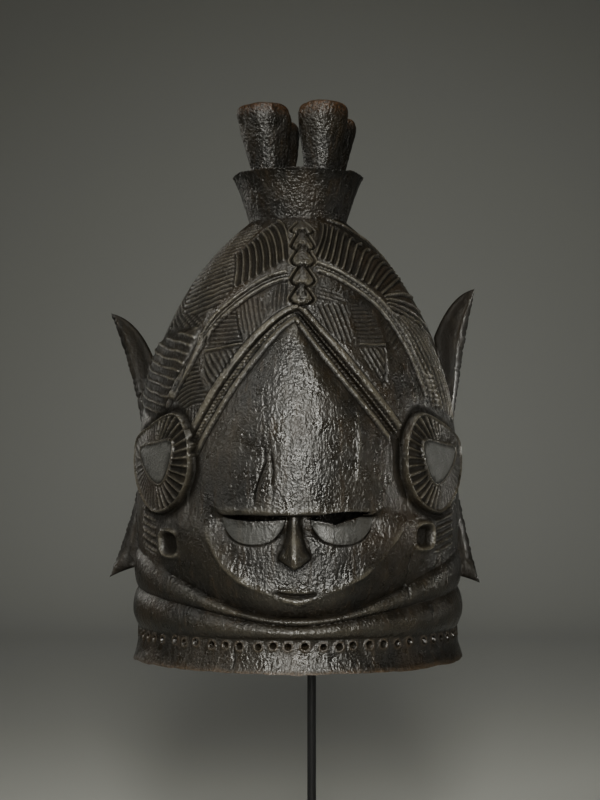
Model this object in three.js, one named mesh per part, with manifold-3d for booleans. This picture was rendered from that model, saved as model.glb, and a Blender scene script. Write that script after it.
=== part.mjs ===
// A helmet mask carved from one log, held up by a thin steel rod on a flat base plate.
// Millimetres, +Z up. The face looks along -Y. The origin is under the middle of the base plate.
// On the mask, a place is given by an angle a in degrees, 0 at the face and positive towards +X,
// and by a height h above the mask's bottom rim.

import * as THREE from "three";
import { mergeVertices } from "three/addons/utils/BufferGeometryUtils.js";
import Module from "manifold-3d";

const wasm = await Module();
wasm.setup();

// Stand
const PLATE_WIDTH = 200;
const PLATE_THICKNESS = 10;
const PLATE_CORNER = 5;
const PLATE_BEVEL = 1;
const ROD_RADIUS = 3.2;
const SOCKET_DEPTH = 7;
const REST_DISC_RADIUS = 15;
const REST_DISC_THICKNESS = 6;
const FIT_GAP = 0.3;

// Where the mask stands over the plate
const RIM_LEVEL = 160;
const MASK_SHIFT = -10;

// Body of the mask
const BODY_RADIUS = 116.8;
const DOME_START = 80;
const DOME_RISE = 256;
const DOME_TOP = 318;
const BACK_STRETCH = 1.04;
const RIM_FLARE = 3.9;
const WALL = 13;
const CEILING = 286;
const CEILING_RADIUS = 30;

// Neck rolls and face heights
const CREASE_LOW = 24;
const CREASE_MID = 52;
const CREASE_TOP = 80;
const CREASE_MID_DROP = 19;
const CREASE_TOP_DROP = 42;
const JAW_FRONT = 52;
const JAW_SIDE = 102;
const JAW_TURN = 27.5;
const JAW_ROW = 94;
const BROW = 106;
const KEEL = 6;
const EYE_HOLLOW = 5;

// Hair. The hairline opens by another law on each side, up to the same reach in degrees.
const HAIRLINE_TOP = 242;
const HAIRLINE_DROP = 126;
const LEFT_HAIRLINE = { reach: 48, bend: 0.65 };
const RIGHT_HAIRLINE = { reach: 53, bend: 0.95 };
const HAIRLINE_REACH = 40;
const LOCK_DEPTH = 1.4;
const LOCK_PITCH = 22.5;

// Lashing holes: the body's mesh has one column for each.
const HOLES = 64;
const HOLE_LEVEL = 19.5;
const HOLE_MOUTH = 2.7;
const HOLE_TAPER = 70;

const { degToRad, radToDeg, lerp, smoothstep, clamp } = THREE.MathUtils;

function toSolid(geometry) {
  const bare = new THREE.BufferGeometry();
  bare.setAttribute("position", geometry.getAttribute("position"));
  bare.setIndex(geometry.getIndex());
  const merged = mergeVertices(bare, 1e-3);
  const index = merged.index.array;
  const corners = [];
  for (let i = 0; i < index.length; i += 3) {
    const [p, q, r] = [index[i], index[i + 1], index[i + 2]];
    if (p !== q && q !== r && r !== p) corners.push(p, q, r);
  }
  const build = (list) =>
    new wasm.Manifold(
      new wasm.Mesh({
        numProp: 3,
        vertProperties: merged.attributes.position.array,
        triVerts: new Uint32Array(list),
      }),
    );
  const solid = build(corners);
  return solid.volume() < 0 ? build(corners.reverse()) : solid;
}

function toGeometry(solid) {
  const mesh = solid.getMesh();
  const geometry = new THREE.BufferGeometry();
  geometry.setAttribute("position", new THREE.BufferAttribute(mesh.vertProperties, mesh.numProp));
  geometry.setIndex(new THREE.BufferAttribute(mesh.triVerts, 1));
  geometry.computeVertexNormals();
  return geometry;
}

// A closed solid through rings of equal length, with a flat fan over each end.
function loft(rings) {
  const count = rings[0].length;
  const positions = rings.flat().flatMap((p) => [p.x, p.y, p.z]);
  const index = [];
  for (let k = 0; k + 1 < rings.length; k++) {
    for (let i = 0; i < count; i++) {
      const here = k * count + i;
      const next = k * count + ((i + 1) % count);
      index.push(here, next, next + count, here, next + count, here + count);
    }
  }
  const last = (rings.length - 1) * count;
  for (let i = 1; i + 1 < count; i++) {
    index.push(0, i + 1, i, last, last + i, last + i + 1);
  }
  const geometry = new THREE.BufferGeometry();
  geometry.setAttribute("position", new THREE.Float32BufferAttribute(positions, 3));
  geometry.setIndex(index);
  return geometry;
}

// The bullet-shaped body without its carving.
function bodyRadius(h) {
  const t = clamp((h - DOME_START) / DOME_RISE, 0, 1);
  return BODY_RADIUS * (1 - t ** 3.1) ** 0.83;
}

// 1 straight ahead, falling to 0 at the sides and behind, with a rounded top.
function frontPull(a, power) {
  const ROUND = 0.15;
  const turn = (Math.hypot(Math.sin(degToRad(a)), ROUND) - ROUND) / (Math.hypot(1, ROUND) - ROUND);
  return Math.abs(a) > 90 ? 0 : 1 - turn ** power;
}

const creaseMid = (a) => CREASE_MID - CREASE_MID_DROP * frontPull(a, 1.1);
const creaseTop = (a) => CREASE_TOP - CREASE_TOP_DROP * frontPull(a, 1.5);

function jawLine(a) {
  const rise = 1 - Math.exp(-((Math.abs(a) / JAW_TURN) ** 3.2));
  return lerp(JAW_FRONT, JAW_SIDE, rise);
}

// Angle at which the hairline stands at height h, on the side that a is on.
function hairlineAngle(a, h) {
  const { reach, bend } = a < 0 ? LEFT_HAIRLINE : RIGHT_HAIRLINE;
  const t = clamp((HAIRLINE_TOP - h) / HAIRLINE_DROP, 0, 1);
  return Math.min(reach * t ** bend, HAIRLINE_REACH);
}

// The rows of the body follow the creases and the jaw, so a row is named by its height behind.
function rowHeight(a, nominal) {
  const named = [0, CREASE_LOW, CREASE_MID, CREASE_TOP, JAW_ROW, BROW];
  const real = [0, CREASE_LOW, creaseMid(a), creaseTop(a), jawLine(a), BROW];
  if (nominal >= BROW) return nominal;
  const k = named.findIndex((level) => nominal < level);
  const t = (nominal - named[k - 1]) / (named[k] - named[k - 1]);
  return lerp(real[k - 1], real[k], t);
}

function rollRelief(h, low, high, depth, bulge) {
  const t = clamp((h - low) / (high - low), 0, 1);
  return -depth + (depth + bulge) * Math.sin(Math.PI * t) ** 0.7;
}

function lowerFaceRelief(a, h, front) {
  const level = (h - jawLine(a)) / (BROW - jawLine(a));
  const cheek = 2.4 * front * Math.cos(0.9 * level);
  const under = 1 - smoothstep(Math.abs(a), 24, 34);
  return cheek - EYE_HOLLOW * under * smoothstep(h, BROW - 20, BROW - 3);
}

function foreheadRelief(a, h) {
  const arch = hairlineAngle(a, h);
  const inside = smoothstep(arch - Math.abs(a), 0, 16);
  const side = bodyRadius(h) * Math.sin(degToRad(a));
  const keel = KEEL * (0.35 + 0.65 * Math.exp(-((side / 30) ** 2)));
  const edge = Math.abs(a) < arch ? -1.6 : 0;
  return h > HAIRLINE_TOP ? 0 : lerp(edge, keel, inside);
}

// The face above the jaw. The brow is a step over the eyes and a slope at the temples.
function upperRelief(a, h, front) {
  const temple = smoothstep(Math.abs(a), 24, 33);
  const over = smoothstep(h, lerp(BROW - 0.4, 97, temple), lerp(BROW + 0.9, 121, temple));
  return lerp(lowerFaceRelief(a, h, front), foreheadRelief(a, h), over);
}

// Long upright locks behind, from the collar down to the nape.
function lockRelief(a, h) {
  const behind = smoothstep(Math.abs(a), 96, 112);
  const ends = smoothstep(h, 84, 96) * (1 - smoothstep(h, 286, 304));
  return LOCK_DEPTH * behind * ends * Math.cos((2 * Math.PI * (180 - Math.abs(a))) / LOCK_PITCH);
}

// How far the carving stands out from the plain body.
function relief(a, h) {
  const front = 1 - smoothstep(Math.abs(a), 34, 62);
  const depth = 1.3 + 2.2 * front;
  if (h < CREASE_LOW) {
    return RIM_FLARE * (1 - h / CREASE_LOW) ** 2 - depth;
  }
  if (h < creaseMid(a)) {
    return rollRelief(h, CREASE_LOW, creaseMid(a), depth, 2.6 - 1.6 * front);
  }
  if (h < creaseTop(a)) {
    return rollRelief(h, creaseMid(a), creaseTop(a), depth, 1.8 - 1.8 * front);
  }
  if (h < jawLine(a)) {
    const t = (h - creaseTop(a)) / (jawLine(a) - creaseTop(a));
    return lerp(-depth - 3 * front, 2.4 * front, Math.sin((Math.PI / 2) * t));
  }
  return lockRelief(a, h) + upperRelief(a, h, front);
}

// A point of the carved surface, lifted outwards by lift.
function surface(a, h, lift = 0) {
  const radius = bodyRadius(h) + relief(a, h) + lift;
  const ahead = Math.cos(degToRad(a)) * radius;
  return new THREE.Vector3(
    radius * Math.sin(degToRad(a)),
    ahead > 0 ? -ahead : -ahead * BACK_STRETCH,
    h,
  );
}

// Local frame of the surface: x along it to the right, y along it upwards, z straight out.
function surfaceFrame(a, h) {
  const along = surface(a + 1, h).sub(surface(a - 1, h)).normalize();
  const up = surface(a, h + 1).sub(surface(a, h - 1)).normalize();
  const out = along.clone().cross(up).normalize();
  const upright = out.clone().cross(along);
  return new THREE.Matrix4().makeBasis(along, upright, out).setPosition(surface(a, h));
}

const ROWS = [
  CREASE_LOW, 31, 45, CREASE_MID, 59, 73, CREASE_TOP, 87, JAW_ROW, 101, BROW, 109,
  131, 155, 178, 200, 220, 238, 255, 271, 286, 302,
];

function bodySolid() {
  const levels = [0, ...ROWS, DOME_TOP];
  const outline = levels.map((h) => new THREE.Vector2(bodyRadius(h), h));
  outline.unshift(new THREE.Vector2(0, 0));
  outline.push(new THREE.Vector2(0, DOME_TOP));
  const geometry = new THREE.LatheGeometry(outline, HOLES);
  const position = geometry.getAttribute("position");
  for (let i = 0; i < position.count; i++) {
    const onAxis = Math.hypot(position.getX(i), position.getZ(i)) < 1e-3;
    const a = Math.round(1000 * radToDeg(Math.atan2(position.getX(i), position.getZ(i)))) / 1000;
    const h = position.getY(i);
    const p = onAxis ? new THREE.Vector3(0, 0, h) : surface(a, rowHeight(a, h));
    position.setXYZ(i, p.x, p.y, p.z);
  }
  return toSolid(geometry);
}

// What is carved away inside: straight walls, then a dome with a flat ceiling.
function hollowSolid() {
  const outline = [new THREE.Vector2(0, -1), new THREE.Vector2(BODY_RADIUS - WALL + 2, -1)];
  for (const h of [41, 130, 185, 225, 258]) {
    outline.push(new THREE.Vector2(bodyRadius(h + 6) - WALL, h));
  }
  outline.push(new THREE.Vector2(CEILING_RADIUS, CEILING));
  outline.push(new THREE.Vector2(0, CEILING));
  return toSolid(new THREE.LatheGeometry(outline, HOLES / 2).rotateX(Math.PI / 2));
}

function collarSolid() {
  const outline = [
    [0, 312],
    [34.7, 312],
    [41.3, 334],
    [47.5, 348],
    [44.5, 348.5],
    [33, 331],
    [0, 329],
  ].map(([radius, h]) => new THREE.Vector2(radius, h));
  return toSolid(new THREE.LatheGeometry(outline, 18).rotateX(Math.PI / 2));
}

const PRONG_FOOT = 322;

// A club that widens upwards to a worn round top and leans from its foot to its head.
function prongSolid({ foot, head, top, width }) {
  const outline = [
    [0, PRONG_FOOT],
    [0.66, PRONG_FOOT],
    [0.7, PRONG_FOOT + 30],
    [0.93, top - 22],
    [1, top - 11],
    [0.82, top - 3],
    [0, top],
  ].map(([share, h]) => new THREE.Vector2((share * width) / 2, h));
  const geometry = new THREE.LatheGeometry(outline, 8).rotateX(Math.PI / 2);
  const position = geometry.getAttribute("position");
  for (let i = 0; i < position.count; i++) {
    const t = (position.getZ(i) - PRONG_FOOT) / (top - PRONG_FOOT);
    position.setX(i, position.getX(i) + lerp(foot[0], head[0], t));
    position.setY(i, 0.86 * position.getY(i) + lerp(foot[1], head[1], t));
  }
  return toSolid(geometry);
}

const PRONGS = [
  { foot: [-17.6, -17], head: [-25.5, -22], top: 398, width: 37 },
  { foot: [16, -17], head: [18.3, -22], top: 400, width: 34 },
  { foot: [-13, 17], head: [-17.5, 23], top: 395, width: 34 },
  { foot: [19, 17], head: [25.8, 23], top: 397, width: 34 },
];

// A raised line on the surface with a sharp top. Each stop is [a, h, half width, height].
function ridge(stops) {
  const SUNK = 1.1;
  const points = stops.map(([a, h, , height]) => surface(a, h, height));
  const rings = stops.map(([a, h, half], k) => {
    const before = points[Math.max(k - 1, 0)];
    const after = points[Math.min(k + 1, points.length - 1)];
    const ahead = after.clone().sub(before).normalize();
    const out = new THREE.Vector3().setFromMatrixColumn(surfaceFrame(a, h), 2);
    const side = ahead.cross(out).normalize().multiplyScalar(half);
    const root = surface(a, h, 0).addScaledVector(out, -SUNK);
    return [root.clone().add(side), points[k], root.clone().sub(side)];
  });
  return toSolid(loft(rings));
}

// A ridge through places [a, h] which fades out at both ends.
function course(places, half, height) {
  const last = places.length - 1;
  return ridge(places.map(([a, h], k) => [a, h, half, k === 0 || k === last ? 0 : height]));
}

// The same places moved over the surface by shift mm, away from the middle of the face.
function beside(places, shift) {
  return places.map(([a, h], k) => {
    const [a0, h0] = places[Math.max(k - 1, 0)];
    const [a1, h1] = places[Math.min(k + 1, places.length - 1)];
    const perDegree = degToRad(bodyRadius(h));
    const across = Math.abs(a1 - a0) * perDegree;
    const length = Math.hypot(across, h0 - h1);
    const side = Math.sign(a1);
    return [a + (side * shift * (h0 - h1)) / (length * perDegree), h + (shift * across) / length];
  });
}

// Places along one side of the hairline, from its top down.
function hairlinePlaces(side) {
  const PIECES = 7;
  const LOW = 130;
  const places = [];
  for (let k = 0; k <= PIECES; k++) {
    const h = lerp(HAIRLINE_TOP, LOW, (k / PIECES) ** 1.3);
    places.push([side * hairlineAngle(side, h), h]);
  }
  return places;
}

const RIGHT_ARC = [
  [8, 277.5],
  [20, 271],
  [30, 262.5],
  [38, 252.5],
  [43.5, 241],
  [47.5, 228],
  [50.5, 214],
  [53, 200],
  [55, 186],
];
const LEFT_ARC = [
  [-4, 270],
  [-13, 266.5],
  [-21, 260],
  [-29, 251],
  [-35, 242],
  [-39.5, 232],
  [-41, 224],
];
const LEFT_BAND = [
  [-40.5, 230],
  [-43, 217],
  [-46, 205],
  [-49.5, 194],
  [-52, 184],
];

// The cords that frame the forehead, and the wider ones that run over the hair.
function hairCords() {
  return [
    course(beside(hairlinePlaces(-1), 5.3), 4.4, 1.9),
    course(beside(hairlinePlaces(-1), -4.7), 4, 1.5),
    course(beside(hairlinePlaces(1), 6.6), 4.6, 1.8),
    course(beside(hairlinePlaces(1), -5.2), 3.8, 1.3),
    course(RIGHT_ARC, 6.8, 1.8),
    course(LEFT_ARC, 6.8, 1.8),
    course(LEFT_BAND, 5, 2.2),
  ];
}

// A rib between two places that bows by [degrees, mm] in its middle.
function bowedRib(foot, head, bow) {
  const PIECES = 3;
  const places = [];
  for (let k = 0; k <= PIECES; k++) {
    const t = k / PIECES;
    const out = Math.sin(Math.PI * t) ** 0.8;
    places.push([lerp(foot[0], head[0], t) + out * bow[0], lerp(foot[1], head[1], t) + out * bow[1]]);
  }
  return course(places, 1.8, 1.8);
}

// Ribs of the two upper panels, which run down towards the braid.
function panelRibs() {
  const ribs = [];
  for (const t of [0, 0.18, 0.36, 0.55, 0.73, 0.91]) {
    const foot = [lerp(9.5, 43, t), 283.5 - 25.5 * t ** 1.3];
    const head = [lerp(28, 92, t), 312.5 - 43 * t ** 1.5];
    ribs.push(bowedRib(foot, head, [0, 8 * Math.sin(Math.PI * 0.85 * t ** 0.8)]));
  }
  for (const t of [0, 0.25, 0.5, 0.75, 1]) {
    const foot = [-lerp(4.5, 31.5, t), lerp(282.5, 261, t)];
    const head = [-lerp(24, 44, t ** 0.7), lerp(313, 289, t)];
    ribs.push(bowedRib(foot, head, [lerp(4, 1.5, t), lerp(6, 3.5, t)]));
  }
  return ribs;
}

// The ribbed roll that swells out at the left side, one ring for each rib and each groove.
function leftRollSolid() {
  const RIBS = 5;
  const COLUMNS = 6;
  const SUNK = 2;
  const SLANT = 0.15;
  const rings = [];
  for (let k = 0; k <= 2 * RIBS; k++) {
    const t = k / (2 * RIBS);
    const half = lerp(43, 35, t);
    const middle = lerp(-69.5, -75.5, t ** 1.5);
    const lift = k % 2 === 1 ? 4 : 2.6;
    const swell = k === 0 || k === 2 * RIBS ? 0 : lift + 0.6;
    const place = (across, out) => {
      const h = lerp(232, 178, t) - SLANT * across * half;
      return surface(middle + (across * half) / degToRad(bodyRadius(h)), h, out);
    };
    const ring = [place(-1, -SUNK)];
    for (let i = 0; i <= COLUMNS; i++) {
      const across = lerp(-1, 1, i / COLUMNS);
      ring.push(place(across, swell * Math.sqrt(1 - across ** 2) - 0.6));
    }
    ring.push(place(1, -SUNK));
    rings.push(ring);
  }
  return toSolid(loft(rings));
}

// The fan of ridges behind the right cord, and the long parallel strips under it.
function rightRidges() {
  const ridges = [];
  for (const t of [0, 0.33, 0.67, 1]) {
    const places = [
      [44, lerp(256.5, 249.5, t)],
      [54.5, lerp(259, 244.5, t)],
      [65, lerp(260.5, 237, t)],
      [lerp(79, 73, t), lerp(259, 226, t)],
    ];
    ridges.push(course(places, 1.9, 1.7));
  }
  for (const t of [0, 0.4, 0.8]) {
    const places = [
      [lerp(44.5, 61, t), lerp(246, 242, t)],
      [lerp(54, 72, t), lerp(221, 217, t)],
      [lerp(57.5, 76, t), lerp(205, 200, t)],
      [lerp(60.5, 78, t), lerp(178, 171, t)],
    ];
    ridges.push(course(places, 1.9, 1.4));
  }
  return ridges;
}

// Knots like pointed leaves down the middle of the crown: [a, top, widest level, lowest level].
const KNOTS = [
  [2.8, 311.5, 302.5, 298.5],
  [3.6, 302.5, 291, 286.5],
  [2.6, 291, 278.5, 275],
  [1.8, 277, 265, 260.5],
  [1.4, 262.5, 251.5, 248.6],
];

function knotSolid([a, top, wide, low]) {
  const knot = new THREE.OctahedronGeometry(1).scale(7.5, 1, 4.6);
  const position = knot.getAttribute("position");
  for (let i = 0; i < position.count; i++) {
    const y = position.getY(i);
    position.setY(i, y * (y > 0 ? top - wide : wide - low));
  }
  return toSolid(knot.applyMatrix4(surfaceFrame(a, wide)));
}

function noseSolid() {
  return ridge([
    [-1, 113, 2.2, 2.5],
    [-1, 104, 2.8, 6.8],
    [-1, 92, 4.6, 10.5],
    [-1, 84, 7.4, 13.2],
    [-1, 77, 10.8, 14.5],
    [-1, 71, 5.5, 4],
  ]);
}

// Heavy lowered lid: a half-moon plate under the eye slit.
function lidSolid(side) {
  const HALF = 20.5;
  const DROP = 18.5;
  const moon = new THREE.Shape();
  moon.moveTo(-HALF, 0);
  for (let k = 1; k < 8; k++) {
    const turn = (Math.PI * k) / 8;
    moon.lineTo(-HALF * Math.cos(turn), -DROP * Math.sin(turn) ** 0.8);
  }
  moon.lineTo(HALF, 0);
  const plate = new THREE.ExtrudeGeometry(moon, { depth: 9, bevelEnabled: false });
  const place = new THREE.Matrix4()
    .makeTranslation(surface(side * 14.5, 90).setZ(103.5))
    .multiply(new THREE.Matrix4().makeRotationZ(degToRad(side * 13)))
    .multiply(new THREE.Matrix4().makeRotationX(degToRad(90 - 5)))
    .multiply(new THREE.Matrix4().makeTranslation(0, 0, -7.2));
  return toSolid(plate.applyMatrix4(place));
}

function lipSolid() {
  return ridge([
    [-11, 53, 2, -0.5],
    [-6, 49.5, 2.6, 2.6],
    [0, 48.3, 3, 3.2],
    [6, 49.5, 2.6, 2.6],
    [11, 53, 2, -0.5],
  ]);
}

// The slit between lid and brow, open right through the wall.
function eyeSlit(corners) {
  const slit = new THREE.Shape(corners.map(([x, h]) => new THREE.Vector2(x, h)));
  const cut = new THREE.ExtrudeGeometry(slit, { depth: 80, bevelEnabled: false });
  return toSolid(cut.rotateX(Math.PI / 2).translate(0, -55, 0));
}

const LEFT_EYE = [
  [-48, 104.8],
  [-30, 102.2],
  [-5.5, 103.6],
  [-18, 106.2],
  [-34, 106.8],
];
const RIGHT_EYE = [
  [5.5, 103.8],
  [24, 99.8],
  [34, 104],
  [48, 108.6],
  [30, 109],
  [14, 106.4],
];

// The rim of an ear, a squarish bow that is open towards the face: [towards the face, up] in mm.
const EAR_RIM = [
  [7, 9],
  [-5, 9.5],
  [-9.8, 4],
  [-9.8, -4],
  [-5, -9.5],
  [7, -9],
];
const EARS = [
  { side: -1, angle: 49, height: 86 },
  { side: 1, angle: 47.5, height: 91 },
];

function earRim({ side, angle, height }) {
  const perDegree = degToRad(bodyRadius(height));
  return ridge(EAR_RIM.map(([x, y]) => [side * (angle - x / perDegree), height + y, 3, 2.5]));
}

function earBowl({ side, angle, height }) {
  const bowl = new THREE.ConeGeometry(8.4, 4.6, 6).rotateX(-Math.PI / 2).translate(0, 0, -1.1);
  return toSolid(bowl.applyMatrix4(surfaceFrame(side * angle, height)));
}

// Ear medallions. Their outlines are drawn flat: s towards the face, t upwards.
const MEDALLION = { angle: 59.5, height: 141.5, lift: 3.4, heartLift: 4.6 };
const MEDALLION_EDGE = [
  [44, 4],
  [40, 21],
  [25, 34],
  [-6, 26],
  [-38, 16],
  [-43, 3],
  [-28, -14],
  [-4, -31],
  [14, -35],
  [33, -27],
  [43, -11],
];
const HEART_EDGE = [
  [26, 13.5],
  [4, 12.5],
  [-20, 9],
  [-9, -4],
  [12, -15],
  [23, -6],
];

function medallionPrism(side, edge, steps) {
  const loop = new THREE.CatmullRomCurve3(
    edge.map(([s, t]) => new THREE.Vector3(-side * s, t, 0)),
    true,
    "catmullrom",
    0.35,
  );
  const flat = loop.getPoints(steps).slice(0, -1);
  const shape = new THREE.Shape(flat.map((p) => new THREE.Vector2(p.x, p.y)));
  const prism = new THREE.ExtrudeGeometry(shape, { depth: 70, bevelEnabled: false });
  const place = new THREE.Matrix4()
    .makeRotationZ(degToRad(side * MEDALLION.angle))
    .multiply(new THREE.Matrix4().makeRotationX(Math.PI / 2))
    .setPosition(0, 0, MEDALLION.height);
  return toSolid(prism.translate(0, 0, 75).applyMatrix4(place));
}

// The plain body swollen by lift, which gives a raised plate its curved top.
function swollenBody(lift) {
  const outline = [new THREE.Vector2(0, 60)];
  for (const h of [60, 100, 145, 190]) {
    outline.push(new THREE.Vector2(bodyRadius(h) + lift, h));
  }
  outline.push(new THREE.Vector2(0, 190));
  return toSolid(new THREE.LatheGeometry(outline, 28).rotateX(Math.PI / 2));
}

function medallionSolids(side) {
  const plate = swollenBody(MEDALLION.lift).intersect(medallionPrism(side, MEDALLION_EDGE, 16));
  const heart = swollenBody(MEDALLION.heartLift).intersect(medallionPrism(side, HEART_EDGE, 10));
  const rays = [];
  const RAYS = 9;
  for (let k = 0; k < RAYS; k++) {
    const turn = degToRad(lerp(78, -112, k / (RAYS - 1)));
    const stops = [0.62, 0.97].map((reach) => {
      const s = 6 + reach * 37 * Math.cos(turn);
      const t = reach * 33 * Math.sin(turn);
      const a = side * (MEDALLION.angle - radToDeg(s / (BODY_RADIUS + 4)));
      return [a, MEDALLION.height + t, 1.5, MEDALLION.lift + 1.3];
    });
    rays.push(ridge(stops));
  }
  return [plate, heart, ...rays];
}

// Crescent plates at the sides, drawn in x outwards and h.
const CRESCENTS = [
  { side: -1, upper: [137, 250], lower: [138, 57], root: [104, 214], foot: [112, 66] },
  { side: 1, upper: [129.5, 268], lower: [133, 53], root: [99, 232], foot: [110, 60] },
];
const CRESCENT_WAIST = [112, 146];
const CRESCENT_THICKNESS = 9;
const CRESCENT_BEVEL = 2.5;
const CRESCENT_BACK = 4;

function crescentSolid({ side, upper, lower, root, foot }) {
  const b = CRESCENT_BEVEL;
  const outline = new THREE.Shape();
  outline.moveTo(upper[0] - b, upper[1] - b);
  outline.quadraticCurveTo(root[0] + 12, root[1] + 32, root[0], root[1]);
  outline.lineTo(104, 200);
  outline.lineTo(108, 80);
  outline.lineTo(foot[0], foot[1]);
  outline.lineTo(lower[0] - b, lower[1] + b);
  outline.quadraticCurveTo(CRESCENT_WAIST[0] + 7, 110, CRESCENT_WAIST[0], CRESCENT_WAIST[1]);
  outline.quadraticCurveTo(CRESCENT_WAIST[0] + 3, 190, upper[0] - b, upper[1] - b);
  const plate = new THREE.ExtrudeGeometry(outline, {
    depth: CRESCENT_THICKNESS - 2 * b,
    bevelEnabled: true,
    bevelThickness: b,
    bevelSize: b,
    bevelSegments: 1,
    curveSegments: 3,
  });
  plate.rotateX(Math.PI / 2).translate(0, CRESCENT_BACK + CRESCENT_THICKNESS / 2 - b, 0);
  return toSolid(plate.scale(side, 1, 1));
}

// Small tapered holes all round under the lowest roll, where a raffia fringe was once tied on.
function lashingHoles() {
  const holes = [];
  for (let k = 0; k < HOLES; k++) {
    const turn = (2 * Math.PI * (k + 0.5)) / HOLES;
    const hole = new THREE.ConeGeometry(HOLE_MOUTH, HOLE_TAPER, 4).rotateX(-Math.PI / 2);
    hole.translate(0, 0, BODY_RADIUS + 8 - HOLE_TAPER / 2).rotateY(turn).rotateX(Math.PI / 2);
    holes.push(toSolid(hole.translate(0, 0, HOLE_LEVEL)));
  }
  return holes;
}

function maskSolid() {
  const added = [
    collarSolid(),
    ...PRONGS.map(prongSolid),
    ...hairCords(),
    ...panelRibs(),
    ...rightRidges(),
    leftRollSolid(),
    ...KNOTS.map(knotSolid),
    noseSolid(),
    lidSolid(-1),
    lidSolid(1),
    lipSolid(),
    ...EARS.map(earRim),
    ...medallionSolids(-1),
    ...medallionSolids(1),
    ...CRESCENTS.map(crescentSolid),
  ];
  const removed = [
    hollowSolid(),
    eyeSlit(LEFT_EYE),
    eyeSlit(RIGHT_EYE),
    ...EARS.map(earBowl),
    ...lashingHoles(),
  ];
  let solid = bodySolid();
  for (const piece of added) solid = solid.add(piece);
  for (const piece of removed) solid = solid.subtract(piece);
  return solid;
}

function rodSolid() {
  const foot = PLATE_THICKNESS - SOCKET_DEPTH + FIT_GAP;
  const head = RIM_LEVEL + CEILING - FIT_GAP;
  const shaft = new THREE.CylinderGeometry(ROD_RADIUS, ROD_RADIUS, head - foot - 1, 12);
  const disc = new THREE.CylinderGeometry(REST_DISC_RADIUS, REST_DISC_RADIUS, REST_DISC_THICKNESS, 20);
  shaft.rotateX(Math.PI / 2).translate(0, 0, (head + foot - 1) / 2);
  disc.rotateX(Math.PI / 2).translate(0, 0, head - REST_DISC_THICKNESS / 2);
  return toSolid(shaft).add(toSolid(disc));
}

function plateSolid() {
  const half = PLATE_WIDTH / 2 - PLATE_BEVEL;
  const square = new THREE.Shape();
  const middles = [
    [1, 1, 0],
    [-1, 1, 1],
    [-1, -1, 2],
    [1, -1, 3],
  ];
  for (const [x, y, quarter] of middles) {
    const start = (quarter * Math.PI) / 2;
    const reach = half - PLATE_CORNER;
    square.absarc(x * reach, y * reach, PLATE_CORNER, start, start + Math.PI / 2);
  }
  const plate = new THREE.ExtrudeGeometry(square, {
    depth: PLATE_THICKNESS - 2 * PLATE_BEVEL,
    bevelThickness: PLATE_BEVEL,
    bevelSize: PLATE_BEVEL,
    bevelSegments: 1,
    curveSegments: 2,
  }).translate(0, 0, PLATE_BEVEL);
  const socket = new THREE.CylinderGeometry(ROD_RADIUS + FIT_GAP, ROD_RADIUS + FIT_GAP, 20, 12);
  socket.rotateX(Math.PI / 2).translate(0, 0, PLATE_THICKNESS - SOCKET_DEPTH + 10);
  return toSolid(plate).subtract(toSolid(socket));
}

const darkWood = new THREE.MeshStandardMaterial({ color: 0x2b2420, roughness: 0.42, metalness: 0 });
const blackSteel = new THREE.MeshStandardMaterial({ color: 0x141414, roughness: 0.5, metalness: 0.6 });

const mask = new THREE.Mesh(toGeometry(maskSolid()), darkWood);
mask.name = "helmet_mask";
mask.position.set(MASK_SHIFT, 0, RIM_LEVEL);

const rod = new THREE.Mesh(toGeometry(rodSolid()), blackSteel);
rod.name = "display_rod";

const plate = new THREE.Mesh(toGeometry(plateSolid()), blackSteel);
plate.name = "base_plate";

const object = new THREE.Group();
object.add(mask, rod, plate);

export default object;
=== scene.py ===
"""Looks of a carved helmet mask that stands on a thin steel rod over a flat base plate."""
import math

import bpy
import numpy as np
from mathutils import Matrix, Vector


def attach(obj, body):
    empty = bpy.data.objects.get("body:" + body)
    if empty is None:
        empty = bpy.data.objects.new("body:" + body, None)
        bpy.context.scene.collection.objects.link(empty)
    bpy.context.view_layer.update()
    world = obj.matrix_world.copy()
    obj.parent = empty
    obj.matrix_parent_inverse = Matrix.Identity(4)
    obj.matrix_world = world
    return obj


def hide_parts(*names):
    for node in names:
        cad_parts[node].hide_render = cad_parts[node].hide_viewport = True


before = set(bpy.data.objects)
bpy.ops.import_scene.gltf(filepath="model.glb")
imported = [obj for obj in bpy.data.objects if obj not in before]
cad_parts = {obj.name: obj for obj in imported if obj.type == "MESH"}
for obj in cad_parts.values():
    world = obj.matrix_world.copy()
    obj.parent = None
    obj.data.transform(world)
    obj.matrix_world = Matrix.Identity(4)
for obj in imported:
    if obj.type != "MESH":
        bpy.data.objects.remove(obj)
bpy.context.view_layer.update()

MM = 0.001
RAD = math.pi / 180

# Place of the mask over the plate, and the plain body, in mm
RIM_LEVEL = 160.0
MASK_SHIFT = -10.0
BODY_RADIUS = 116.8
DOME_START = 80.0
DOME_RISE = 256.0
DOME_TOP = 317.0
BACK_STRETCH = 1.04
RIM_FLARE = 3.9
WALL = 13.0
OPENING_RADIUS = 104.5
CEILING = 286.0
CEILING_RADIUS = 30.0

# Heights of the neck rolls and the face, in mm over the rim
CREASE_LOW = 24.0
CREASE_MID = 52.0
CREASE_TOP = 80.0
CREASE_MID_DROP = 19.0
CREASE_TOP_DROP = 42.0
JAW_FRONT = 52.0
JAW_SIDE = 102.0
JAW_TURN = 27.5
BROW = 106.0
KEEL = 6.0
EYE_HOLLOW = 5.0

# Hairline: its top and its drop in mm, and on each side its reach in degrees and its bend
HAIRLINE_TOP = 242.0
HAIRLINE_DROP = 126.0
LEFT_HAIRLINE = (48.0, 0.65)
RIGHT_HAIRLINE = (53.0, 0.95)
HAIRLINE_REACH = 40.0

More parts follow.
